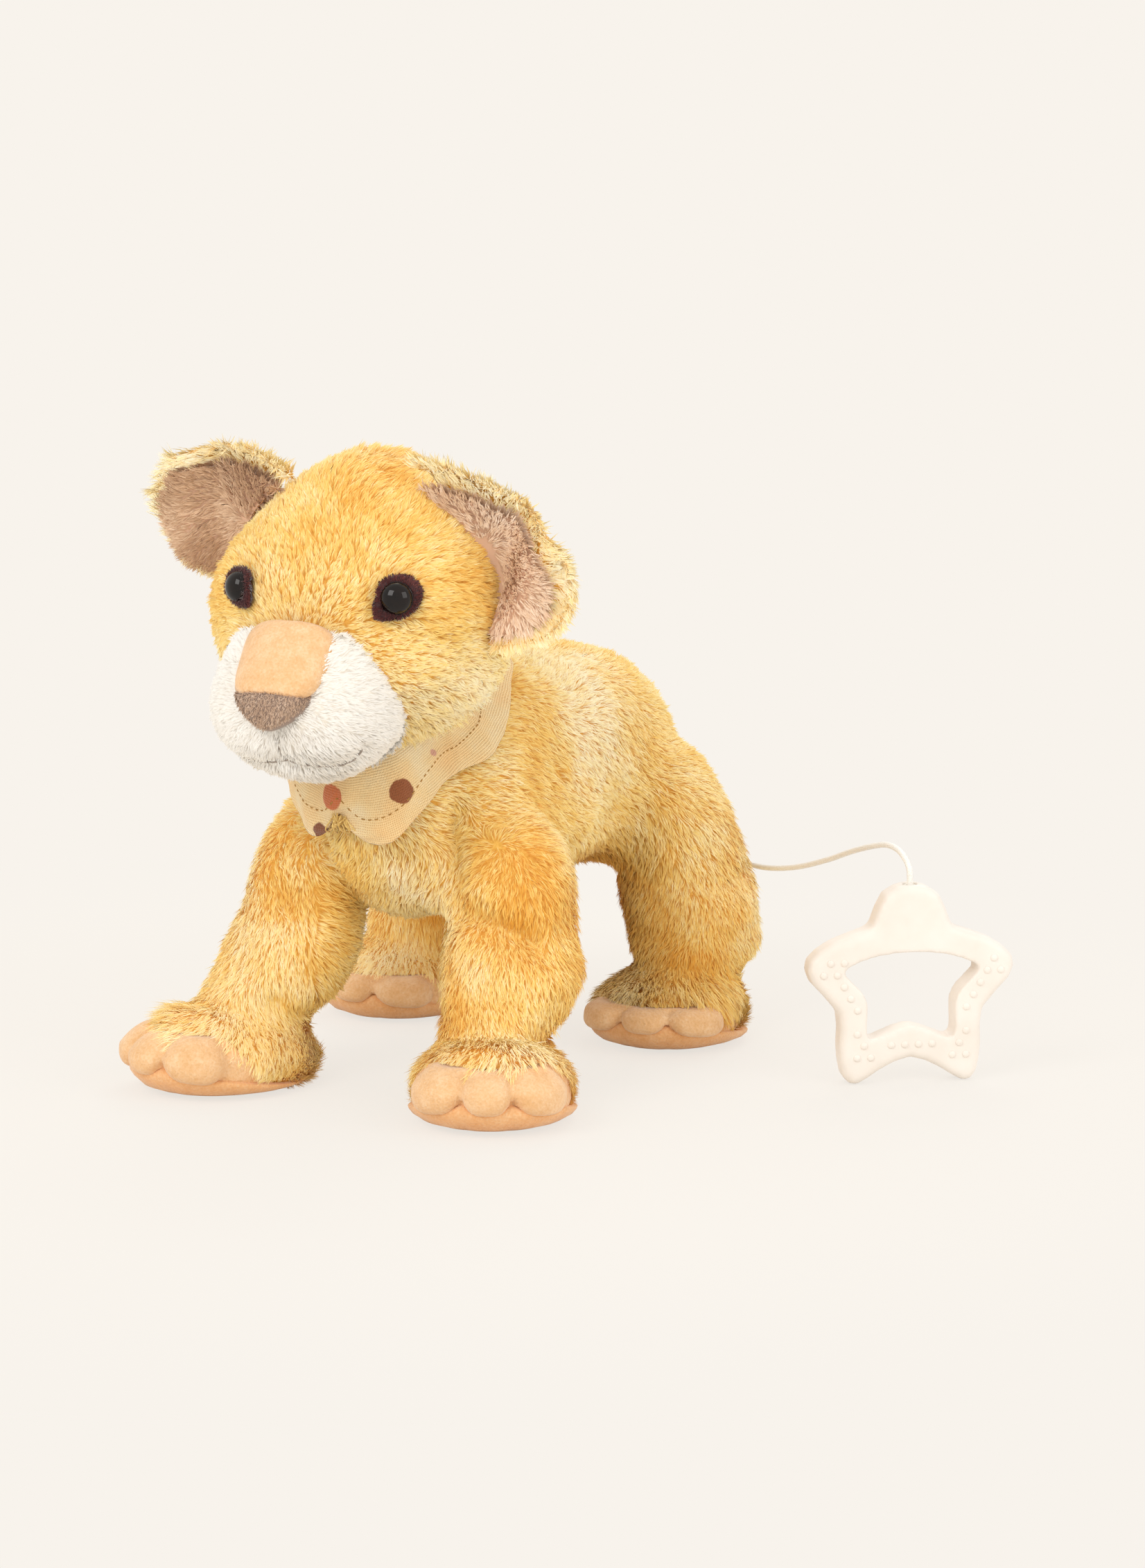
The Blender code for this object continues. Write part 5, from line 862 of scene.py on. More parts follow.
feed(muslin_finish, "Base Color", woven)
relief = node(muslin_finish, "Math", {0: over_under, 2: crossing}, {1: 0.6},
              operation="MULTIPLY_ADD")
dent(muslin_finish, relief.outputs[0], 0.5, 0.3 * MM)
muslin = add_piece("muslin_band", face_outward(muslin_mesh), muslin_finish)
fit(muslin, "apricot_muslin", "bandana")


def join_tubes(name, runs, radius, material, slot):
    """Many short lengths of thread as one piece."""
    verts, faces = [], []
    for run in runs:
        more, joined = tube([Vector(point) for point in run], lambda far, turn: radius,
                            THREAD_SIDES)
        faces += [tuple(len(verts) + k for k in face) for face in joined]
        verts += more
    piece = add_piece(name, mesh_of(name, verts, faces), material)
    fit(piece, slot)
    return piece


HEM_STITCHES = 104
HEM_THREAD_RADIUS = 0.22 * MM
THREAD_SIDES = 7
hem_thread = finish("hem_thread", Base_Color=shade("#B58A4A"), Roughness=0.8,
                    Specular_IOR_Level=0.2)
tint(hem_thread, over_piece(hem_thread, "TexNoise", Scale=1500.0),
     ((0.3, "#9C7034"), (0.7, "#C79A5A")))
stitches = []
for k in range(HEM_STITCHES):
    run = []
    for step in range(5):
        angle = 2 * math.pi * (k + 0.25 + 0.45 * step / 4) / HEM_STITCHES
        front = 0.5 + 0.5 * math.cos(angle)
        tall = (BAND_TOP[0] - BAND_FOOT[0] + (BAND_TOP[1] - BAND_FOOT[1]) * front) * MM
        dip = MUSLIN_THICKNESS + (0.22 * math.sin(math.pi * step / 4) - 0.12) * MM
        run.append(muslin_at(angle, 1 - HEM_UP / tall, dip))
    stitches.append(run)
hem = join_tubes("hem_stitching", stitches, HEM_THREAD_RADIUS, hem_thread, "apricot_muslin")


# Tack: strands of golden thread that sew the gather to the chest, with loose ends a few
# millimetres long left under it.
TACK_STRANDS = 16
TACK_LOOPS = 6
TACK_STEPS = 8
TACK_THREAD_RADIUS = 0.26 * MM
tack_low, tack_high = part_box("bandana_tack")
tack_middle = (tack_low + tack_high) / 2 + Vector((-3.0, -0.3, 3.0)) * MM
tack_thread = finish("gold_thread", Base_Color=shade("#DDB05A"), Roughness=0.55,
                     Specular_IOR_Level=0.35, Sheen_Weight=0.3)
tint(tack_thread, over_piece(tack_thread, "TexNoise", Scale=900.0),
     ((0.3, "#C89A42"), (0.7, "#F0D083")))
rng = np.random.default_rng(7)
strands = []
for k in range(TACK_STRANDS):
    spread = (k + 0.5) / TACK_STRANDS * 2 - 1
    fall = rng.uniform(5, 9) * MM
    bow = rng.uniform(-2.5, 2.5) * MM
    start = tack_middle + Vector((spread * 2.5 * MM, 0, 1.5 * MM)) + CHIN_WAY * 1.6 * MM
    run = []
    for step in range(TACK_STEPS + 1):
        t = step / TACK_STEPS
        run.append(start + Vector((spread * 5.5 * MM * t + bow * math.sin(math.pi * t), 0, 0))
                   - NECK_WAY * fall * t + CHIN_WAY * (2.4 * math.sin(math.pi * t) + 0.6) * MM)
    strands.append(run)
for k in range(TACK_LOOPS):
    angle = math.pi * k / TACK_LOOPS
    across = Vector((math.cos(angle), 0, 0)) - NECK_WAY * math.sin(angle)
    strands.append([tack_middle + across * (3.2 * MM * (2 * t - 1))
                    + CHIN_WAY * ((1.2 + 0.25 * k) * MM + 1.6 * MM * math.sin(math.pi * t))
                    for t in np.linspace(0, 1, TACK_STEPS + 1)])
tack = join_tubes("tack_threads", strands, TACK_THREAD_RADIUS, tack_thread, "mouth_thread")
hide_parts("bandana_tack")


# Plush pile of the body: fibres about 5 mm long that stand on the skin, lie backwards and down,
# and part into small locks. On the paws they are up to 10 mm long and hang over the toes.
PILE_SPLIT_HEIGHT = 60 * MM
TUFT_HEIGHTS = (26, 22)
TUFT_REACH = 7
BODY_PILE = 4.9
TUFT_PILE = 5.0
TUFT_BUNCH = 13 * MM
PAW_PARTINGS = (-58.0, 74.0)
MOST_FIBRES = 66000
BLOCKER_REACH = 30 * MM
LENGTH_SPREAD = (0.8, 1.15)
WIDTH_SPREAD = (0.75, 1.25)
LOCK_TONES = 0.05
FIBRE_TONES = 0.09
TONE_ENDS = (0.02, 0.98)
ROOT_DEPTH = 0.4 * MM
FLOOR_CLEAR = 0.3 * MM
KNEE_UP = 0.55
KNEE_WIDTH = 0.85
MAP_ROWS = (0.0, 0.0, KNEE_UP, KNEE_UP, KNEE_UP, KNEE_UP, 1.0)


def swirl(points, size, seeds, amount):
    """A soft random turn of the pile over a skin."""
    return amount * np.stack([waves(points, size, seed) for seed in seeds], axis=1)


def within(tree, point):
    """Whether a point lies inside a closed skin, by counting what a ray from it meets."""
    way = Vector((0.36, 0.48, 0.80))
    met = 0
    while met < 12:
        spot = tree.ray_cast(point, way)[0]
        if spot is None:
            break
        met += 1
        point = spot + way * (MM / 50)
    return met % 2 == 1


def scatter(skin, density, rng):
    """Roots spread evenly over a skin's triangles, the normals there, and the skin's area."""
    mesh = skin.data
    mesh.calc_loop_triangles()
    points, normals = read_skin(mesh)
    corners = np.empty(len(mesh.loop_triangles) * 3, dtype=int)
    mesh.loop_triangles.foreach_get("vertices", corners)
    corners = corners.reshape(-1, 3)
    a, b, c = (points[corners[:, k]] for k in range(3))
    areas = np.linalg.norm(np.cross(b - a, c - a), axis=1) / 2
    count = int(areas.sum() / MM**2 * density)
    parts = corners[rng.choice(len(areas), count, p=areas / areas.sum())]
    u, v = rng.random((2, count))
    flip = u + v > 1
    u[flip], v[flip] = 1 - u[flip], 1 - v[flip]
    shares = (1 - u - v, u, v)
    roots = sum(points[parts[:, k]] * s[:, None] for k, s in enumerate(shares))
    outward = unit(sum(normals[parts[:, k]] * s[:, None] for k, s in enumerate(shares)))
    return roots, outward, areas.sum()


def clear_of(blockers, roots):
    """Which roots stand neither inside a blocker nor nearer to its skin than its room."""
    keep = np.ones(len(roots), dtype=bool)
    for tree, room in blockers:
        for k in np.flatnonzero(keep):
            root = Vector(roots[k])
            spot, facing, _, distance = tree.find_nearest(root, BLOCKER_REACH)
            if spot is not None and (distance < room or (
                    (root - spot).dot(facing) < 0 and within(tree, root))):
                keep[k] = False
    return keep


def fibre_mesh(name, verts, shading, places):
    """Fibres of five points: one quad and a triangle over it, with their own shading."""
    fibres = bpy.data.meshes.new(name)
    fibres.vertices.add(len(verts))
    fibres.vertices.foreach_set("co", verts.ravel())
    count = len(verts) // 5
    first = np.arange(count)[:, None]
    fibres.loops.add(count * 7)
    fibres.loops.foreach_set("vertex_index",
                             (first * 5 + np.array([0, 1, 3, 2, 2, 3, 4])).ravel())
    fibres.polygons.add(count * 2)
    fibres.polygons.foreach_set("loop_start", (first * 7 + np.array([0, 4])).ravel())
    fibres.update(calc_edges=True)
    custom = fibres.attributes.new("custom_normal", "FLOAT_VECTOR", "POINT")
    custom.data.foreach_set("vector", np.repeat(shading, 5, axis=0).astype(np.float32).ravel())
    chart = fibres.uv_layers.new(name="OFBake")
    chart.uv.foreach_set("vector", places.astype(np.float32).ravel())
    return fibres


def pile(name, skin, density, length, width, along, tone, material, slot, seed, lock=3.4 * MM,
         gather=0.24, rise=0.38, wanted=None, blockers=(), stray=0.14, glow=0.0):
    """Fibres on a skin: density is per square millimetre, and along, length and tone are
    functions of the roots and their normals, or plain values. Blockers are (tree, room), and
    glow is how far the light from above comes through the fibres."""
    rng = np.random.default_rng(seed)
    roots, outward, area = scatter(skin, density, rng)
    if wanted is not None:
        keep = wanted(roots, outward)
        roots, outward = roots[keep], outward[keep]
    keep = clear_of(blockers, roots)
    roots, outward = roots[keep][:MOST_FIBRES], outward[keep][:MOST_FIBRES]
    count = len(roots)
    value = (lambda given: given(roots, outward) if callable(given) else np.full(count, given))
    flow = unit(along(roots, outward))
    flow = unit(flow - outward * np.sum(flow * outward, axis=1, keepdims=True))
    long = value(length) * rng.uniform(*LENGTH_SPREAD, count)
    # Each fibre leans toward the middle of its lock, whose turn and tone it shares.
    centres = max(int(area / lock**2), 4)
    chosen = rng.choice(count, min(centres, count), replace=False)
    tree = KDTree(len(chosen))
    for k, root in enumerate(chosen):
        tree.insert(roots[root], k)
    tree.balance()
    owner = np.array([tree.find(root)[1] for root in roots])
    lock_turn = rng.normal(size=(len(chosen), 3)) * stray
    lock_tone = rng.normal(size=len(chosen)) * LOCK_TONES
    flow = unit(flow + lock_turn[owner] + rng.normal(size=(count, 3)) * stray * 0.7)
    toward = roots[chosen][owner] - roots
    stand = outward * value(rise)[:, None]
    low = unit(stand + flow * 0.55)
    high = unit(stand * 0.5 + flow + unit(toward) * 0.2)
    middle = roots + low * (long * 0.5)[:, None] + toward * (gather * 0.45)
    tips = middle + high * (long * 0.5)[:, None] + toward * (gather * 0.55)
    for end in (tips, middle):
        end[:, 2] = np.maximum(end[:, 2], FLOOR_CLEAR)
    roots = roots - outward * ROOT_DEPTH
    side_way = unit(np.cross(low, outward) + rng.normal(size=(count, 3)) * 0.25)
    broad = (value(width) * rng.uniform(*WIDTH_SPREAD, count) / 2)[:, None] * side_way
    verts = np.stack([roots - broad, roots + broad, middle - broad * KNEE_WIDTH,
                      middle + broad * KNEE_WIDTH, tips], axis=1).reshape(-1, 3)
    # It is shaded between the skin's normal and its own, as a soft pile takes the light.
    facing = unit(np.cross(side_way, low))
    soft = unit(outward + facing * (value(rise)[:, None] - 0.25) + np.array((0.0, 0.0, glow))
                + rng.normal(size=(count, 3)) * 0.08)
    tones = value(tone) + lock_tone[owner] + rng.normal(size=count) * FIBRE_TONES
    places = np.stack([np.repeat(np.clip(tones, *TONE_ENDS), 7), np.tile(MAP_ROWS, count)],
                      axis=1)
    piece = add_piece(name, fibre_mesh(name, verts, soft, places), material)
    piece.visible_shadow = False
    fit(piece, slot)
    return piece


def pile_finish(name, stops, root_shade_code, sheen=0.15):
    """Plush pile: its tone runs across the map, and up the map it goes from the root colour, a
    painted shade deep in the pile, to the tip.
    """
    material = finish(name, Roughness=0.8, Specular_IOR_Level=0.2, Sheen_Weight=sheen,
                      Sheen_Roughness=0.45)
    place = node(material, "SeparateXYZ", {0: node(material, "UVMap", uv_map="OFBake").outputs[0]})
    tips = ramp(material, place.outputs[0], stops)
    # Toward the root the colour turns to the root colour, a painted shade deep in the pile, whose
    # fibres cast no shadow.
    up = node(material, "MapRange", {0: place.outputs[1]}, {1: 0.0, 2: 0.65, 3: 1.0, 4: 0.0})
    mix = node(material, "Mix", {0: up.outputs[0], 6: tips}, {7: shade(root_shade_code)},
               data_type="RGBA")
    feed(material, "Base Color", mix.outputs[2])
    return material


def tufts(roots):
    """Where the long tufts grow: above the toes, in a few bunches."""
    x, y, z = local(roots)
    return (hill(z, np.where(y < 0, *TUFT_HEIGHTS), TUFT_REACH) * toeward(x, y)
            * np.clip(waves(roots, TUFT_BUNCH, 17) + 0.75, 0, 1.5))


def body_rise(roots, outward):
    return 0.36 + 0.16 * np.minimum(tufts(roots), 1.0)


def body_flow(roots, outward):
    x, y, z = local(roots)
    flow = np.zeros_like(roots)
    leg = climb(z, 92, 62) * (np.abs(x) > 22)
    flow[:, 1] = (1 - leg) * (0.7 + 0.2 * climb(z, 100, 140))
    flow[:, 2] = -0.35 - 0.75 * leg - 0.3 * climb(np.abs(x), 0, 40)
    paw = climb(z, 36, 24)
    away = np.stack([x - np.sign(x) * PAW_ASIDE, y - np.where(y < 0, *PAW_PARTINGS),
                     -6.0 - 12 * toeward(x, y)], axis=1)
    flow = flow * (1 - paw)[:, None] + unit(away) * (1.2 * paw)[:, None]
    return flow + swirl(roots, 34 * MM, (11, 12, 13), 0.45)


def body_length(roots, outward):
    z = local(roots)[2]
    return (BODY_PILE + 0.7 * climb(z, 40, 26) + TUFT_PILE * tufts(roots)
            + 0.7 * waves(roots, 30 * MM, 14)) * MM


def body_tone(roots, outward):
    x, y, z = local(roots)
    # The pile is a deeper gold along the body's folds: a painted shade in the creases.
    painted_fold_shade = sum(depth * nearness(roots, [at(*place) for place in run], 0.8 * reach * MM)
                 for run, depth, reach in BODY_FOLDS)
    # Pile on faces turned down is a deeper gold, and on faces turned up a little paler: a painted
    # shade on the undersides. The lower legs are a deeper gold too, the rear ones more.
    return (0.52 + 0.19 * waves(roots, 34 * MM, 15) + 0.13 * waves(roots, 11 * MM, 16)
            + 0.14 * tufts(roots) + 0.16 * np.clip(outward[:, 2], -1, 0.3) - 0.08 * painted_fold_shade
            - np.where(y < MIDDLE_Y, 0.06, 0.15) * (1 - ease(z, 60, 90)))


def body_region(front, left, low):
    """A test for one quarter of the legs, or for the front or back half of the torso."""
    def wanted(roots, outward):
        x, y, z = (roots - np.array(LION)).T
        below = z < PILE_SPLIT_HEIGHT
        if low:
            return below & ((y < 0) == front) & ((x > 0) == left)
        return ~below & ((y < 0.03) == front)
    return wanted


GOLD_STOPS = ((0.0, "#EDAE44"), (0.35, "#F9D67C"), (0.6, "#FEE9A8"), (1.0, "#FFF6D4"))
gold_pile = pile_finish("gold_pile", GOLD_STOPS, "#E9A944")
head_tree = tree_of(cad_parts["head"])
BODY_DENSITY = 2.9
FIBRE_WIDTH = 0.44 * MM
for k, (label, front, left, low, glow) in enumerate((
        ("pile_chest", True, True, False, 0.1), ("pile_rump", False, True, False, 0.0),
        ("pile_leg_front_left", True, True, True, 0.1),
        ("pile_leg_front_right", True, False, True, 0.1),
        ("pile_leg_rear_left", False, True, True, 0.7),
        ("pile_leg_rear_right", False, False, True, 0.45))):
    blockers = [(tree_of(muslin), 0.6 * MM), (head_tree, 0.0)] if not low and front else []
    if low:
        blockers = [(tree, 0.3 * MM) for tree in paw_trees[label[9:]]]
    pile(label, body, BODY_DENSITY, body_length, FIBRE_WIDTH, body_flow, body_tone,
         gold_pile, "gold_plush", 20 + k, rise=body_rise, wanted=body_region(front, left, low),
         blockers=blockers, glow=glow)


# Head: a skin of the same plush, stuffed firmly, drawn in at the eyes and along the seam from
# the bridge of the nose to each ear. Its pile is shorter and runs away from the nose.
HEAD_VOXEL = 2.2 * MM
HEAD_ROUNDS = 6
HEAD_INSET = 3.0 * MM
HEAD_PILE = 4.3 * MM
CROWN_RISE = 5.5 * MM
CROWN_ACROSS = (-3, 33)
CROWN_ALONG = (-56, 26)
CROWN_FROM = (190, 216)
CHEEK_SPREAD = 4.0 * MM
CHEEK_HEIGHT = (168, 24)
CHEEK_FROM = (18, 40)
EYE_PARTING = 10 * MM
# How far the photo shows each eye from its solid, in millimetres.
EYE_SHIFTS = {"left": (2.3, 1.4, 0.0), "right": (3.2, -1.7, 1.0)}
# Each seam of the head: the places it runs through, its depth and its reach.
HEAD_CREASES = (
    (((18, -108, 172), (34, -98, 168), (44, -82, 160), (48, -66, 146)), 1.6, 5.0),
    (((-18, -108, 172), (-34, -98, 168), (-44, -82, 160), (-48, -66, 146)), 1.6, 5.0),
    (((34, -62, 216), (14, -58, 224), (-14, -58, 224), (-34, -62, 216)), 1.6, 5.0),
)
BROW_FROM = (0.0, -116.0, 158.0)
EYE_SOCKET_DEPTH = 2.0 * MM
EYE_SOCKET_REACH = 8.0 * MM
EYE_HEIGHT = 6.1 * MM
EYE_CLEAR = 5.7 * MM

head = soft_skin("plush_head", ["head"], HEAD_VOXEL, HEAD_INSET, HEAD_ROUNDS, gold_backing)
points, normals = read_skin(head.data)
points += normals * (0.7 * LUMP_DEPTH * lumpy(points, 3))[:, None]
x, y, z = local(points)
points[:, 2] += (CROWN_RISE * hill(x, *CROWN_ACROSS) * hill(y, *CROWN_ALONG)
                 * ease(z, *CROWN_FROM))
points[:, 0] -= CHEEK_SPREAD * hill(z, *CHEEK_HEIGHT) * ease(-x, *CHEEK_FROM)
write_skin(head.data, points)
for run, depth, reach in HEAD_CREASES:
    crease(head.data, [at(*place) for place in run], depth * MM, reach * MM)
eye_places = {}
for side in ("left", "right"):
    rows = [np.array([v.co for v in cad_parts[part + side].data.vertices])
            for part in ("eye_washer_", "eye_")]
    facing = Vector(rows[1].mean(axis=0) - rows[0].mean(axis=0)).normalized()
    top = max((rows[1] - rows[1].mean(axis=0)) @ np.array(facing))
    place = (Vector(rows[1].mean(axis=0)) + facing * (top - EYE_HEIGHT)
             + Vector(EYE_SHIFTS[side]) * MM)
    eye_places[side] = (place, facing)
    crease(head.data, [place, place + Vector((0, 0, MM))], EYE_SOCKET_DEPTH, EYE_SOCKET_REACH)
fit(head, "gold_plush", "head", fill=0.9)


def head_flow(roots, outward):
    away = unit(roots - np.array(at(*BROW_FROM)))
    for place, facing in eye_places.values():
        gap = roots - np.array(place)
        near = hill(np.linalg.norm(gap, axis=1), 0, EYE_PARTING)
        away += unit(gap) * near[:, None]
    away[:, 2] -= 0.35 * climb(np.abs(roots[:, 0] - LION.x), 0, 40 * MM)
    return away + swirl(roots, 26 * MM, (31, 32, 33), 0.35)


def head_length(roots, outward):
    x, y, z = local(roots)
    crown = climb(y, -66, -52) * climb(z, 180, 200)
    cheek = climb(z, 150, 130)
    return HEAD_PILE * (1 + 0.35 * crown + 0.25 * cheek) + 0.4 * MM * waves(roots, 24 * MM, 34)


def head_tone(roots, outward):
    z = local(roots)[2]
    return (0.43 + 0.14 * waves(roots, 34 * MM, 35) + 0.08 * waves(roots, 9 * MM, 36)
            + 0.26 * climb(z, 172, 142))


def off_the_eyes(roots):
    keep = np.ones(len(roots), dtype=bool)
    for place, _ in eye_places.values():
        keep &= np.linalg.norm(roots - np.array(place), axis=1) > EYE_CLEAR
    return keep


# Muzzle: white plush with a fine, even pile, puffed out on both sides of the line down from
# the nose and drawn in along the mouth.
MUZZLE_VOXEL = 1.7 * MM
MUZZLE_ROUNDS = 5
MUZZLE_INSET = 2.2 * MM
MUZZLE_PUFF = 1.8 * MM
MUZZLE_FRONT = -90
PUFF_ACROSS = (20, 13)
PUFF_HEIGHT = (138, 14)
MUZZLE_NARROW = 0.80
FACE_SHIFT = -2.0 * MM
CHIN_DROP = 4.5 * MM
CHIN_FROM = (142, 120)
SNOUT_RISE = 5.5 * MM
SNOUT_FROM = (148, 168)
SNOUT_ACROSS = (22, 9)
WHITE_STOPS = ((0.0, "#F1EBE1"), (0.5, "#F7F3EC"), (1.0, "#FCFAF6"))
white_pile = pile_finish("white_pile", WHITE_STOPS, "#F1E9DD")
white_backing = backing("white_backing", "#F3EDE2")
mouth_low, mouth_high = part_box("mouth_stitch")
philtrum_low, philtrum_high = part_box("philtrum_stitch")
MOUTH_HALF = 0.78 * (mouth_high.x - mouth_low.x) / 2
MOUTH_HEIGHT = philtrum_low.z - 1.6 * MM
MOUTH_SAG = 1.4 * MM
MOUTH_CURL = 4.5 * MM
MOUTH_CURL_START = 0.68
MOUTH_CLEAR = 0.7 * MM
MOUTH_CREASE = (1.2 * MM, 3.0 * MM)
PHILTRUM_CREASE = (1.6 * MM, 3.2 * MM)
STITCH_STEPS = 28
NOSE_CENTRE = (0.0, -121.0, 143.0)

muzzle = soft_skin("plush_muzzle", ["muzzle"], MUZZLE_VOXEL, MUZZLE_INSET, MUZZLE_ROUNDS,
                   white_backing)
points, normals = read_skin(muzzle.data)
x, y, z = local(points)
puff = hill(np.abs(x), *PUFF_ACROSS) * hill(z, *PUFF_HEIGHT) * (y < MUZZLE_FRONT)
points += normals * (MUZZLE_PUFF * puff)[:, None]
x, y, z = local(points)
narrow = np.where(x > 0, MUZZLE_NARROW, 0.5 + 0.5 * MUZZLE_NARROW)
points[:, 0] = LION.x + FACE_SHIFT + x * narrow * MM
points[:, 2] -= CHIN_DROP * ease(z, *CHIN_FROM)
points[:, 2] += SNOUT_RISE * ease(z, *SNOUT_FROM) * hill(np.abs(x), *SNOUT_ACROSS)
write_skin(muzzle.data, points)
first_tree = tree_of(muzzle)


def on_muzzle(x, z, lift, tree):
    """The place on the muzzle's front at a given side and height, raised off its skin."""
    spot, facing, _, _ = tree.ray_cast(Vector((LION.x + FACE_SHIFT + x, cad_box[0].y - 0.05, z)),
                                       Vector((0, 1, 0)))
    return spot + facing * lift


mouth_run = []
for step in range(STITCH_STEPS + 1):
    share = 2 * step / STITCH_STEPS - 1
    curl = max(abs(share) - MOUTH_CURL_START, 0.0) / (1 - MOUTH_CURL_START)
    height = (MOUTH_HEIGHT - MOUTH_SAG * math.sin(math.pi * abs(share))
              + MOUTH_CURL * curl**2)
    mouth_run.append((MOUTH_HALF * share, height))
philtrum_run = [(0.0, z) for z in np.linspace(philtrum_high.z, MOUTH_HEIGHT, 6)]
for run, pull in ((mouth_run, MOUTH_CREASE), (philtrum_run, PHILTRUM_CREASE)):
    crease(muzzle.data, [on_muzzle(x, z, 0, first_tree) for x, z in run], *pull)
fit(muzzle, "white_plush", "muzzle", fill=0.8)
skin_tree = tree_of(muzzle)
mouth_points = [on_muzzle(x, z, 0, skin_tree) for x, z in mouth_run]
philtrum_points = [on_muzzle(x, z, 0, skin_tree) for x, z in philtrum_run]


def off_the_mouth(roots, outward):
    """Leaves the fibres out beside the thread, where a needle has pulled them down."""
    keep = np.ones(len(roots), dtype=bool)
    for point in mouth_points + philtrum_points:
        keep &= np.linalg.norm(roots - np.array(point), axis=1) > MOUTH_CLEAR
    return keep


def muzzle_flow(roots, outward):
    away = unit(roots - np.array(at(*NOSE_CENTRE)))
    return away + swirl(roots, 22 * MM, (61, 62, 63), 0.25) + np.array((0.0, 0.0, -0.25))


# Pile of the head and muzzle: the head's fibres stop where the muzzle is sewn on, so they are
# made after it. The muzzle's are finer and shorter, and leave the thread of the mouth free.
HEAD_DENSITY = 3.0
HEAD_FIBRE_WIDTH = 0.5 * MM
FACE_BACK = 66 * MM
MUZZLE_PILE = 3.4 * MM
MUZZLE_DENSITY = 4.2
MUZZLE_FIBRE_WIDTH = 0.42 * MM
for label, front, seed in (("pile_face", True, 40), ("pile_nape", False, 41)):
    pile(label, head, HEAD_DENSITY, head_length, HEAD_FIBRE_WIDTH, head_flow, head_tone,
         gold_pile, "gold_plush", seed, wanted=lambda roots, outward, front=front:
         off_the_eyes(roots) & ((roots[:, 1] < LION.y - FACE_BACK) == front),
         blockers=[(tree_of(muzzle), 0.3 * MM), (tree_of(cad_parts["nose_bridge"]), 0.0),
                   (tree_of(body), 0.0)])

pile("pile_muzzle", muzzle, MUZZLE_DENSITY, MUZZLE_PILE, MUZZLE_FIBRE_WIDTH, muzzle_flow,
     lambda roots, outward: 0.6 + 0.12 * waves(roots, 16 * MM, 64), white_pile, "white_plush", 65,
     lock=2.6 * MM, gather=0.14, stray=0.12, rise=0.36, wanted=off_the_mouth,
     blockers=[(tree_of(head), 0.0), (tree_of(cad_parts["nose"]), 0.0)])


# Ears: two layers of plush sewn rim to rim, cupped, and set into the side of the head. The
# golden pile is long round the rim, and the pink-beige lining is soft and a little shorter.
EAR_VOXEL = 1.4 * MM
EAR_ROUNDS = 3
EAR_INSET = 1.6 * MM
LINING_VOXEL = 1.3 * MM
LINING_ROUNDS = 2
LINING_INSET = 0.6 * MM
EAR_DENSITY = 3.0
RIM_FIBRE_WIDTH = 0.55 * MM
LINING_DENSITY = 3.2
LINING_PILE = 4.4 * MM
LINING_FIBRE_WIDTH = 0.5 * MM
EAR_ROOTS = {"left": (44.0, -56.0, 192.0), "right": (-44.0, -56.0, 198.0)}
RIM_STOPS = ((0.0, "#F2C468"), (0.35, "#FADB90"), (0.6, "#FFEDB8"), (1.0, "#FFF9E2"))
rim_pile = pile_finish("ear_rim_pile", RIM_STOPS, "#F6CC7C")
LINING_STOPS = ((0.0, "#C09A78"), (0.4, "#ECCCAB"), (0.7, "#F8E1C9"), (1.0, "#FFF4E8"))
lining_pile = pile_finish("ear_lining_pile", LINING_STOPS, "#D2A985")
lining_backing = backing("ear_lining_backing", "#DDB79A")
# Each fold of an ear: its depth, how far out it is and its reach, in millimetres.
EAR_FOLDS = ((4.2, 27, 7), (-3.4, 13, 6))
# Each ear: its turn in degrees, its reach, its height, and its shift in millimetres.
EAR_BENDS = {"left": (25.0, 1.02, 1.0, (-6.0, -1.0, -1.0)),
             "right": (-4.0, 0.95, 0.86, (0.0, 0.0, 1.5))}
# How pale each lining's pile is: the right lining is darker, a painted shade on the same fabric.
LINING_TONES_WITH_SHADE = {"left": 0.48, "right": 0.14}
# Each lining: its size, and its shift in millimetres.
LINING_FIT = {"left": (0.97, (-1.2, -0.6, -2.2)), "right": (1.0, (-1.6, -0.6, -2.6))}


def bend_ear(mesh, side):
    """Lets an ear hang from its root and folds it lengthwise, as soft plush does."""
    points, _ = read_skin(mesh)
    root = np.array(at(*EAR_ROOTS[side]))
    turn, reach, tall, shift = EAR_BENDS[side]
    away = points - root
    outward = away[:, 0] * (1 if side == "left" else -1) / MM
    away[:, 0] *= reach
    away[:, 2] *= tall
    fold = sum(depth * hill(outward, middle, wide) for depth, middle, wide in EAR_FOLDS)
    away[:, 1] -= fold * MM
    angle = np.radians(turn) * np.clip(np.linalg.norm(away, axis=1) / (30 * MM), 0.3, 1)
    x, z = away[:, 0].copy(), away[:, 2].copy()
    away[:, 0] = x * np.cos(angle) + z * np.sin(angle)
    away[:, 2] = z * np.cos(angle) - x * np.sin(angle)
    write_skin(mesh, root + away + np.array(shift) * MM)


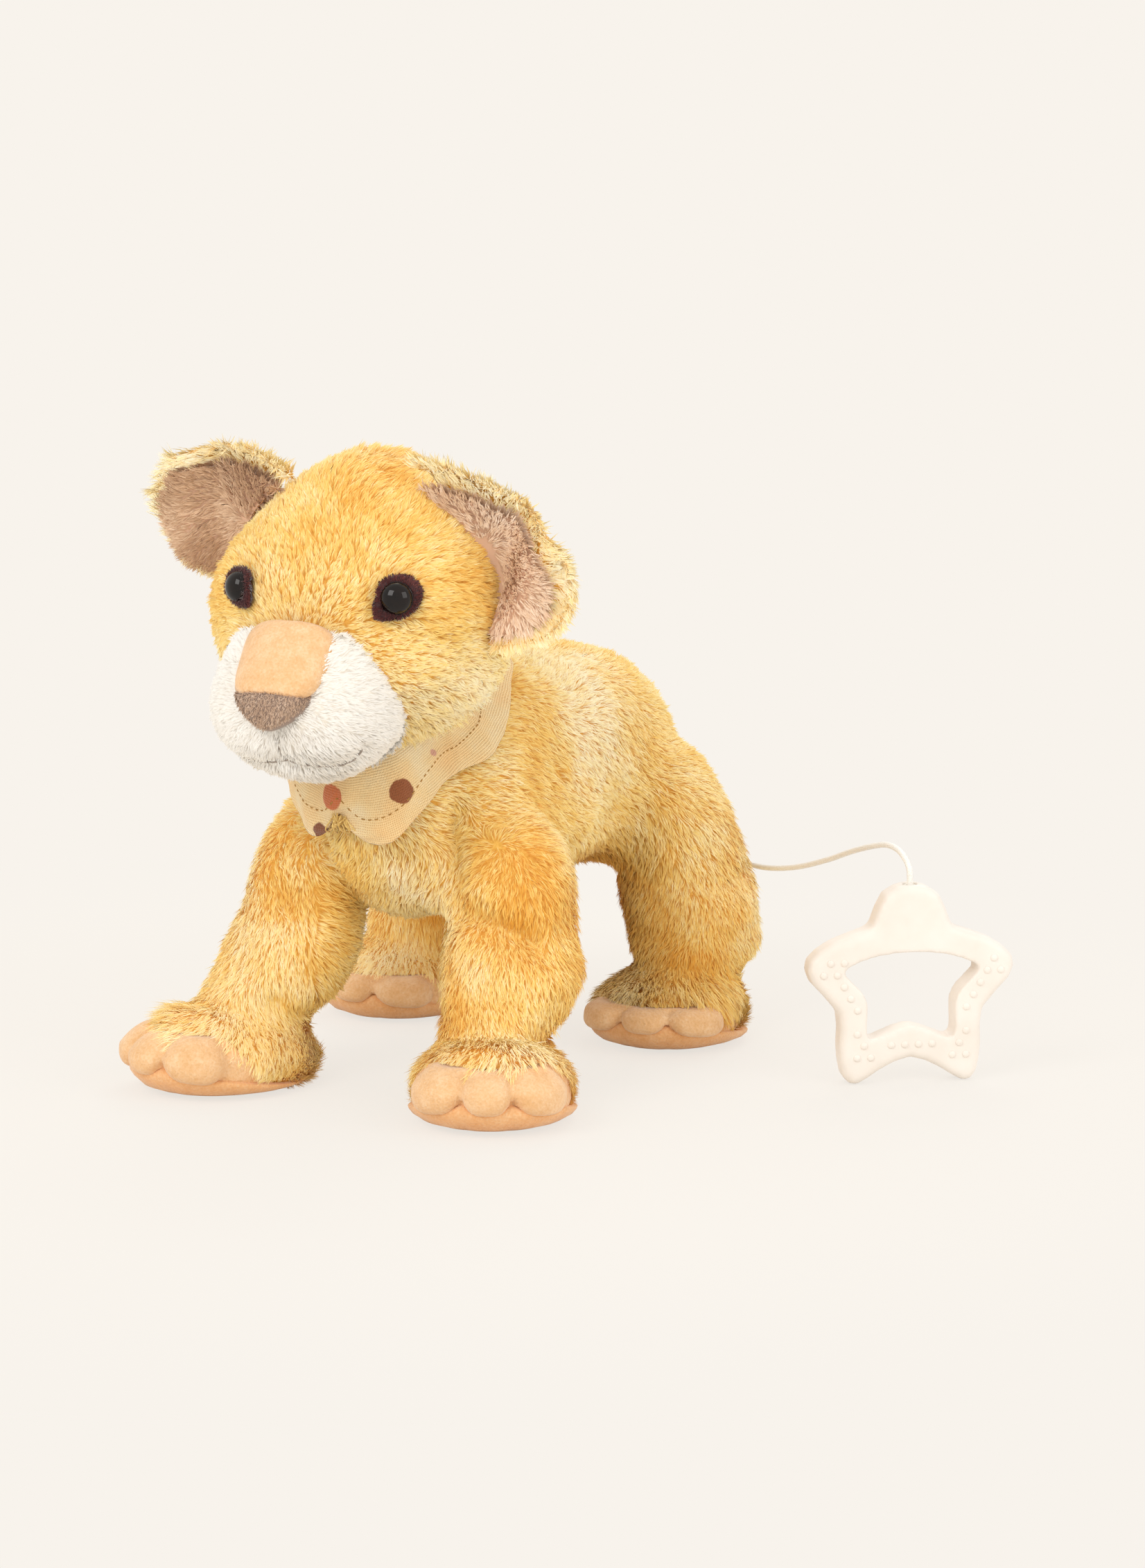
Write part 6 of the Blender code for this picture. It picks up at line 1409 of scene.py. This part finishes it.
for side in ("left", "right"):
    root = np.array(at(*EAR_ROOTS[side]))

    def ear_flow(roots, outward, root=root):
        return (unit(roots - root) + swirl(roots, 16 * MM, (51, 52, 53), 0.4)
                + np.array((0.0, -0.3, -0.15)))

    def rim_length(roots, outward, root=root):
        reach = np.linalg.norm(roots - root, axis=1)
        above = ease((roots - root)[:, 2], -10 * MM, 8 * MM)
        return (4.4 + (1.0 + 3.8 * above) * climb(reach, 24 * MM, 44 * MM)) * MM

    def rim_tone(roots, outward, root=root):
        reach = np.linalg.norm(roots - root, axis=1)
        return 0.52 + 0.3 * climb(reach, 0, 46 * MM) + 0.1 * waves(roots, 12 * MM, 54)

    ear = soft_skin("ear_" + side + "_shell", ["ear_" + side], EAR_VOXEL, EAR_INSET, EAR_ROUNDS,
                    gold_backing)
    bend_ear(ear.data, side)
    fit(ear, "gold_plush", "ear_" + side, fill=0.5)
    lining = soft_skin("ear_lining_" + side + "_shell", ["ear_lining_" + side], LINING_VOXEL,
                       LINING_INSET, LINING_ROUNDS, lining_backing)
    points, _ = read_skin(lining.data)
    reach, offset = LINING_FIT[side]
    write_skin(lining.data, root + (points - root) * reach + np.array(offset) * MM)
    bend_ear(lining.data, side)
    fit(lining, "ear_lining_plush", "ear_lining_" + side, fill=0.4)
    lining_tree = tree_of(lining)
    pile("pile_ear_" + side, ear, EAR_DENSITY, rim_length, RIM_FIBRE_WIDTH, ear_flow, rim_tone,
         rim_pile, "gold_plush", 55, lock=4.0 * MM, rise=0.3, glow=0.55,
         blockers=[(lining_tree, 0.2 * MM), (head_tree, 0.0)])
    # The right lining's darker tone is a painted shade.
    pile("pile_ear_lining_" + side, lining, LINING_DENSITY, LINING_PILE, LINING_FIBRE_WIDTH,
         ear_flow,
         lambda roots, outward, tone_with_shade=LINING_TONES_WITH_SHADE[side]: tone_with_shade + 0.16 * waves(roots, 14 * MM, 56),
         lining_pile, "ear_lining_plush", 57, lock=3.0 * MM, rise=0.45, gather=0.32, glow=0.15,
         blockers=[(tree_of(ear), 0.0), (head_tree, 0.0)])


# Mouth and philtrum: two strands of grey-brown thread, sewn down in long stitches so that the
# line dips into the plush at each one.
THREAD_RADIUS = 0.34 * MM
THREAD_STITCH = 4.0 * MM
THREAD_STEP_ALONG = 0.4 * MM
THREAD_TWIST = 0.35 * MM
THREAD_LIFT = 0.75 * MM
thread_finish = finish("grey_thread", Base_Color=shade("#9A8D82"), Roughness=0.75,
                       Specular_IOR_Level=0.25, Sheen_Weight=0.2)
tint(thread_finish, over_piece(thread_finish, "TexWave", Scale=900.0, Distortion=2.0),
     ((0.2, "#85776B"), (0.8, "#B0A499")))


def sewn_thread(name, run, replaced):
    raised = []
    length = 0.0
    dense = smooth_route([Vector(point) for point in run], THREAD_STEP_ALONG)
    for k, point in enumerate(dense):
        length += (point - dense[k - 1]).length if k else 0.0
        _, facing, _, _ = skin_tree.find_nearest(point)
        hump = abs(math.sin(math.pi * length / THREAD_STITCH))**0.6
        raised.append(point + facing * THREAD_LIFT * (0.25 + 0.75 * hump))
    piece = tube_piece(name, raised, lambda along, angle: THREAD_RADIUS * (
        1 + 0.12 * math.sin(3 * angle + along / THREAD_TWIST)), 10, thread_finish)
    fit(piece, "mouth_thread", replaced)


sewn_thread("mouth_thread", mouth_points, "mouth_stitch")
sewn_thread("philtrum_thread", philtrum_points, "philtrum_stitch")


# Bridge and nose: a padded panel of peach velour down the snout, and a taupe one with a
# slightly longer pile sewn across its end.
BRIDGE_WIDTH = 33.5 * MM
BRIDGE_FLARE = 0.07
BRIDGE_LENGTH = 29.0 * MM
BRIDGE_DOWN = 2.2 * MM
BRIDGE_SLOPE = math.radians(54.0)
NOSE_SLOPE = math.radians(84.0)
NOSE_THICKNESS = 10 * MM
NOSE_PILE = 1.4 * MM
FINE_FIBRE_WIDTH = 0.3 * MM
NOSE_DENSITY = 9.0
BRIDGE_THICKNESS = 8.0 * MM
BRIDGE_WRAP = 30.0 * MM
NOSE_WRAP = 32.0 * MM
# The nose's outline, in shares of its half width and half height.
NOSE_OUTLINE = ((-0.96, 0.66), (-0.55, 0.92), (0.0, 0.97), (0.55, 0.92), (0.96, 0.66),
                (0.92, 0.20), (0.72, -0.26), (0.40, -0.70), (0.0, -1.0), (-0.40, -0.70),
                (-0.72, -0.26), (-0.92, 0.20))
TAUPE_STOPS = ((0.0, "#AE8E76"), (0.5, "#CCAD94"), (1.0, "#EBD8C6"))
taupe_pile = pile_finish("taupe_velour_pile", TAUPE_STOPS, "#A0836C")
taupe_backing = finish("taupe_velour_backing", Base_Color=shade("#947E70"), Roughness=0.9,
                       Specular_IOR_Level=0.1, Sheen_Weight=0.3)
PAD_RINGS = 12


def ring_through(shares, count):
    """A round closed outline through the given shares."""
    rows = [Vector((*share, 0.0)) for share in shares]
    outline = []
    for k in range(len(rows)):
        four = [rows[(k + j - 1) % len(rows)] for j in range(4)]
        outline += [between(*four, j / count) for j in range(count)]
    return outline


def superellipse(power, count):
    return [Vector((math.copysign(abs(math.cos(a))**(2 / power), math.cos(a)),
                    math.copysign(abs(math.sin(a))**(2 / power), math.sin(a)), 0.0))
            for a in (2 * math.pi * (k + 0.5) / count for k in range(count))]


def crowned_pad(name, outline, width, height, thickness, wrap, flare, place, finish_used):
    """A closed pad: a crowned face, a rounded rim and a flat back, bent round the snout."""
    rows = []
    for part in range(2 * PAD_RINGS + 1):
        share = part / PAD_RINGS if part <= PAD_RINGS else 2 - part / PAD_RINGS
        share = min(max(share, 0.02), 1.0)
        crown = (1 - share**4)**0.5
        depth = thickness * (0.5 * crown if part <= PAD_RINGS else -0.5 * crown)
        row = []
        for point in outline:
            x, y = point.x * width / 2 * share, point.y * height / 2 * share
            x *= 1 + flare * point.y
            row.append(place @ Vector((x, y, depth - x * x / (2 * wrap))))
        rows.append(row)
    return ring_piece(name, rows, True, finish_used)


low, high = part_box("nose_bridge")
bridge_place = (Matrix.Translation((low + high) / 2) @ Matrix.Rotation(BRIDGE_SLOPE, 4, "X")
                @ Matrix.Translation((FACE_SHIFT, -BRIDGE_DOWN, 0)))
bridge = crowned_pad("bridge_pad", superellipse(4.0, 56), BRIDGE_WIDTH, BRIDGE_LENGTH,
                     BRIDGE_THICKNESS, BRIDGE_WRAP, BRIDGE_FLARE, bridge_place, peach_velour)
low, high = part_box("nose")
nose_place = (Matrix.Translation(((low.x + high.x) / 2 + FACE_SHIFT, low.y + 5 * MM,
                                  (low.z + high.z) / 2))
              @ Matrix.Rotation(NOSE_SLOPE, 4, "X"))
nose_pad = crowned_pad("nose_pad", ring_through(NOSE_OUTLINE, 5), high.x - low.x, high.z - low.z,
                       NOSE_THICKNESS, NOSE_WRAP, 0.0, nose_place, taupe_backing)
for pad, replaced, slot in ((bridge, "nose_bridge", "peach_velour"),
                            (nose_pad, "nose", "taupe_velour")):
    fit(pad, slot, replaced, fill=0.9)
pile("nose_pad_pile", nose_pad, NOSE_DENSITY, NOSE_PILE, FINE_FIBRE_WIDTH,
     lambda roots, outward: np.tile((0.0, -0.3, -1.0), (len(roots), 1)),
     lambda roots, outward: 0.5 + 0.10 * waves(roots, 5 * MM, 76), taupe_pile, "taupe_velour", 72,
     lock=1.2 * MM, gather=0.05, rise=0.35, stray=0.4,
     wanted=lambda roots, outward: outward[:, 1] * -0.75 + outward[:, 2] * 0.4 > 0.22)


# Eyes: polished black safety eyes on shanks, held by washers inside the head, each in a patch
# of dark brown satin stitch with a corner that points down to the nose.
EYE_RADIUS = 5.6 * MM
EYE_DOME = 4.6 * MM
EYE_RIM = 0.55 * MM
EYE_SIDES = 48
EYE_STEPS = 14
PATCH_SEAT = 1.0 * MM
SATIN_DENSITY = 7.0
SATIN_LENGTH = 1.9 * MM
# The patch's radii in millimetres, at sixteen even turns round the eye.
PATCH_RADII = (7.9, 8.4, 8.5, 7.8, 7.2, 7.2, 7.2, 6.6, 6.4, 8.2, 9.8, 7.8, 6.6, 6.4, 6.5, 7.1)
# Each eye: the size of its patch, and how far out of its seat it stands.
EYE_FITS = {"left": (0.95, 0.3 * MM), "right": (0.84, -0.9 * MM)}
EYE_SPACE = 12.0 * MM
eye_finish = finish("polished_black", Base_Color=shade("#0B0808"), Roughness=0.04,
                    Specular_IOR_Level=0.32)
tint(eye_finish, over_piece(eye_finish, "TexNoise", Scale=300.0),
     ((0.3, "#0A0605"), (0.8, "#180E0A")))
STITCH_STOPS = ((0.0, "#361618"), (0.5, "#5A2A28"), (1.0, "#84504A"))
stitch_pile = pile_finish("brown_satin_stitch", STITCH_STOPS, "#2A1012", sheen=0.5)
stitch_backing = finish("brown_stitch_backing", Base_Color=shade("#35161A"), Roughness=0.7)
tint(stitch_backing, over_piece(stitch_backing, "TexWave", Scale=700.0, Distortion=3.0),
     ((0.2, "#2A1013"), (0.8, "#4A2022")))
# Each ring of a patch: the share of its radius, and its height in units of its seat.
PATCH_PROFILE = ((0.62, -1.0), (0.62, 0.9), (0.75, 1.15), (0.9, 1.1), (0.98, 0.8), (1.0, 0.3),
                 (0.98, -1.0))

for side, mirror in (("left", 1), ("right", -1)):
    place, facing = eye_places[side]
    patch_size, eye_seat = EYE_FITS[side]
    across = Vector((0, 0, 1)).cross(facing).normalized() * mirror
    upright = facing.cross(across) * mirror
    profile = [(EYE_RADIUS * 0.6, -EYE_DOME * 0.5), (EYE_RADIUS * 0.97, 0.0),
               (EYE_RADIUS, EYE_RIM * 0.5), (EYE_RADIUS * 0.985, EYE_RIM)]
    for step in range(EYE_STEPS):
        angle = math.pi / 2 * step / EYE_STEPS
        profile.append((EYE_RADIUS * 0.95 * math.cos(angle),
                        EYE_RIM + (EYE_DOME - EYE_RIM) * math.sin(angle)))
    rows = [[place + facing * (eye_seat + level) + radius * (
        across * math.cos(angle) + upright * math.sin(angle))
        for angle in (2 * math.pi * s / EYE_SIDES for s in range(EYE_SIDES))]
        for radius, level in profile]
    eye = ring_piece("eye_" + side + "_dome", rows, True, eye_finish)
    fit(eye, "eye_plastic", "eye_" + side)
    rows = []
    sides = len(PATCH_RADII) * 3
    for share, level in PATCH_PROFILE:
        row = []
        for s in range(sides):
            first, rest = divmod(s, 3)
            radius = (PATCH_RADII[first] * (1 - rest / 3)
                      + PATCH_RADII[(first + 1) % len(PATCH_RADII)] * rest / 3)
            radius *= MM * share * patch_size
            angle = 2 * math.pi * s / sides
            start = place + facing * EYE_SPACE + radius * (
                across * math.cos(angle) + upright * math.sin(angle))
            hit = head_tree.ray_cast(start, -facing, 2 * EYE_SPACE)[0] or start - facing * EYE_SPACE
            row.append(hit + facing * (level * PATCH_SEAT))
        rows.append(row)
    patch = ring_piece("eye_" + side + "_stitching", rows, False, stitch_backing)
    fit(patch, "eye_embroidery", "eye_patch_" + side)
    centre = np.array(place)
    pile("eye_" + side + "_satin", patch, SATIN_DENSITY, SATIN_LENGTH, FINE_FIBRE_WIDTH,
         lambda roots, outward, centre=centre: unit(roots - centre)
         + swirl(roots, 6 * MM, (81, 82, 83), 0.3),
         lambda roots, outward: 0.45 + 0.15 * waves(roots, 4 * MM, 84), stitch_pile,
         "eye_embroidery", 85, lock=1.2 * MM, gather=0.1, rise=0.25)


# Star grip: soft cream silicone, moulded round the cord's knot, with small raised dots on both
# faces of its side and lower arms for the fingers.
STAR_MIDDLE = Vector((158.3, 43.0, 35.5))
STAR_TURN = math.radians(37.0)
STAR_ALONG = Vector((math.cos(STAR_TURN), math.sin(STAR_TURN), 0.0))
STAR_OUT = Vector((math.sin(STAR_TURN), -math.cos(STAR_TURN), 0.0))
STAR_VOXEL = 0.8 * MM
GRIP_DOT_RADIUS = 1.35 * MM
GRIP_DOT_HEIGHT = 0.75 * MM
GRIP_DOT_STEP = 4.9 * MM
GRIP_DOT_RINGS = 6
GRIP_DOT_SIDES = 16
GRIP_DOTS_TOP = 12 * MM
GRIP_ARMS_LOW = 6 * MM
GRIP_ARMS_INNER = 22 * MM
STAR_SPACE = 0.05
DOT_SINK = 0.05 * MM
FLAT_ENOUGH = 0.97
silicone = finish("cream_silicone", Base_Color=shade("#F1E7DB"), Roughness=0.42,
                  Specular_IOR_Level=0.35)
tint(silicone, over_piece(silicone, "TexNoise", Scale=70.0, Detail=4.0),
     ((0.3, "#EFE6DC"), (0.7, "#F5EEE6")))
dent(silicone, over_piece(silicone, "TexNoise", Scale=1600.0, Detail=2.0).outputs[0], 0.12,
     0.1 * MM)
star = soft_skin("star_moulding", ["star_grip"], STAR_VOXEL, 0.0, 3, silicone, overlap=0.0)
fit(star, "cream_silicone", "star_grip", body="pull")
star_tree = tree_of(star)
verts, faces = [], []
for face in (1, -1):
    for row in range(-7, 4):
        for column in range(-8, 9):
            sideways = (column + 0.5 * (row % 2)) * GRIP_DOT_STEP
            height = row * GRIP_DOT_STEP * 0.87
            if height > GRIP_DOTS_TOP or (height > GRIP_ARMS_LOW
                                          and abs(sideways) < GRIP_ARMS_INNER):
                continue
            flat = []
            for k in range(9):
                reach = GRIP_DOT_RADIUS * 1.5 * (k > 0)
                spot = (LION + STAR_MIDDLE * MM + STAR_ALONG * (sideways + reach * math.cos(k))
                        + Vector((0, 0, height + reach * math.sin(k)))
                        + STAR_OUT * (face * STAR_SPACE))
                hit, normal, _, _ = star_tree.ray_cast(spot, STAR_OUT * -face,
                                                       STAR_SPACE + 2 * MM)
                if hit is not None and normal.dot(STAR_OUT * face) > FLAT_ENOUGH:
                    flat.append(hit)
            if len(flat) < 9:
                continue
            base = len(verts)
            for level in range(GRIP_DOT_RINGS):
                angle = math.pi / 2 * level / (GRIP_DOT_RINGS - 0.5)
                for k in range(GRIP_DOT_SIDES):
                    turn = 2 * math.pi * k / GRIP_DOT_SIDES
                    verts.append(flat[0] + (STAR_ALONG * math.cos(turn)
                                            + Vector((0, 0, math.sin(turn))))
                                 * GRIP_DOT_RADIUS * math.cos(angle)
                                 + STAR_OUT * face * (GRIP_DOT_HEIGHT * math.sin(angle)
                                                      - DOT_SINK))
            faces += [tuple(base + j for j in each)
                      for each in ring_faces(GRIP_DOT_RINGS, GRIP_DOT_SIDES)]
grip_dots = add_piece("star_grip_dots", face_outward(mesh_of("star_grip_dots", verts, faces)),
                      silicone)
fit(grip_dots, "cream_silicone", body="pull")


# Movement and fittings: the parts inside the body and the star, as a maker of movements
# supplies them. They keep their solid shapes and get the finish of each stock.
def stock(name, colours, scale, roughness, bump=0.1, **sockets):
    """A finish with grain: moulded, drawn or rolled, from a noise over the solid."""
    material = finish(name, Roughness=roughness, **sockets)
    grain = over_piece(material, "TexNoise", Scale=scale, Detail=3.0)
    tint(material, grain, ((0.35, colours[0]), (0.65, colours[1])))
    dent(material, grain.outputs[0], bump, 0.1 * MM)
    return material


case_plastic = stock("case_plastic", ("#E4E2DC", "#EDEBE6"), 700.0, 0.45)
steel = stock("steel", ("#A9ABAD", "#C6C8CA"), 500.0, 0.28, Metallic=1.0)
brass = stock("brass", ("#C59A45", "#DDB663"), 450.0, 0.3, Metallic=1.0)
nylon = stock("nylon", ("#EAE6DB", "#F4F1E8"), 800.0, 0.5)
FITTINGS = (
    (case_plastic, ("movement_case_lower", "movement_case_upper")),
    (steel, ("case_screw_1", "case_screw_2", "comb", "comb_screw_left", "comb_screw_right",
             "spool_arbor", "mainspring", "cylinder_arbor")),
    (brass, ("movement_frame", "great_wheel", "pinned_cylinder", "cylinder_wheel")),
    (nylon, ("cord_eyelet", "eye_washer_left", "eye_washer_right", "cord_anchor", "cord_spool",
             "governor")),
    (cord_finish, ("cord_knot", "wound_cord")),
)
for material, names in FITTINGS:
    for name in names:
        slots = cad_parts[name].data.materials
        slots.clear()
        slots.append(material)
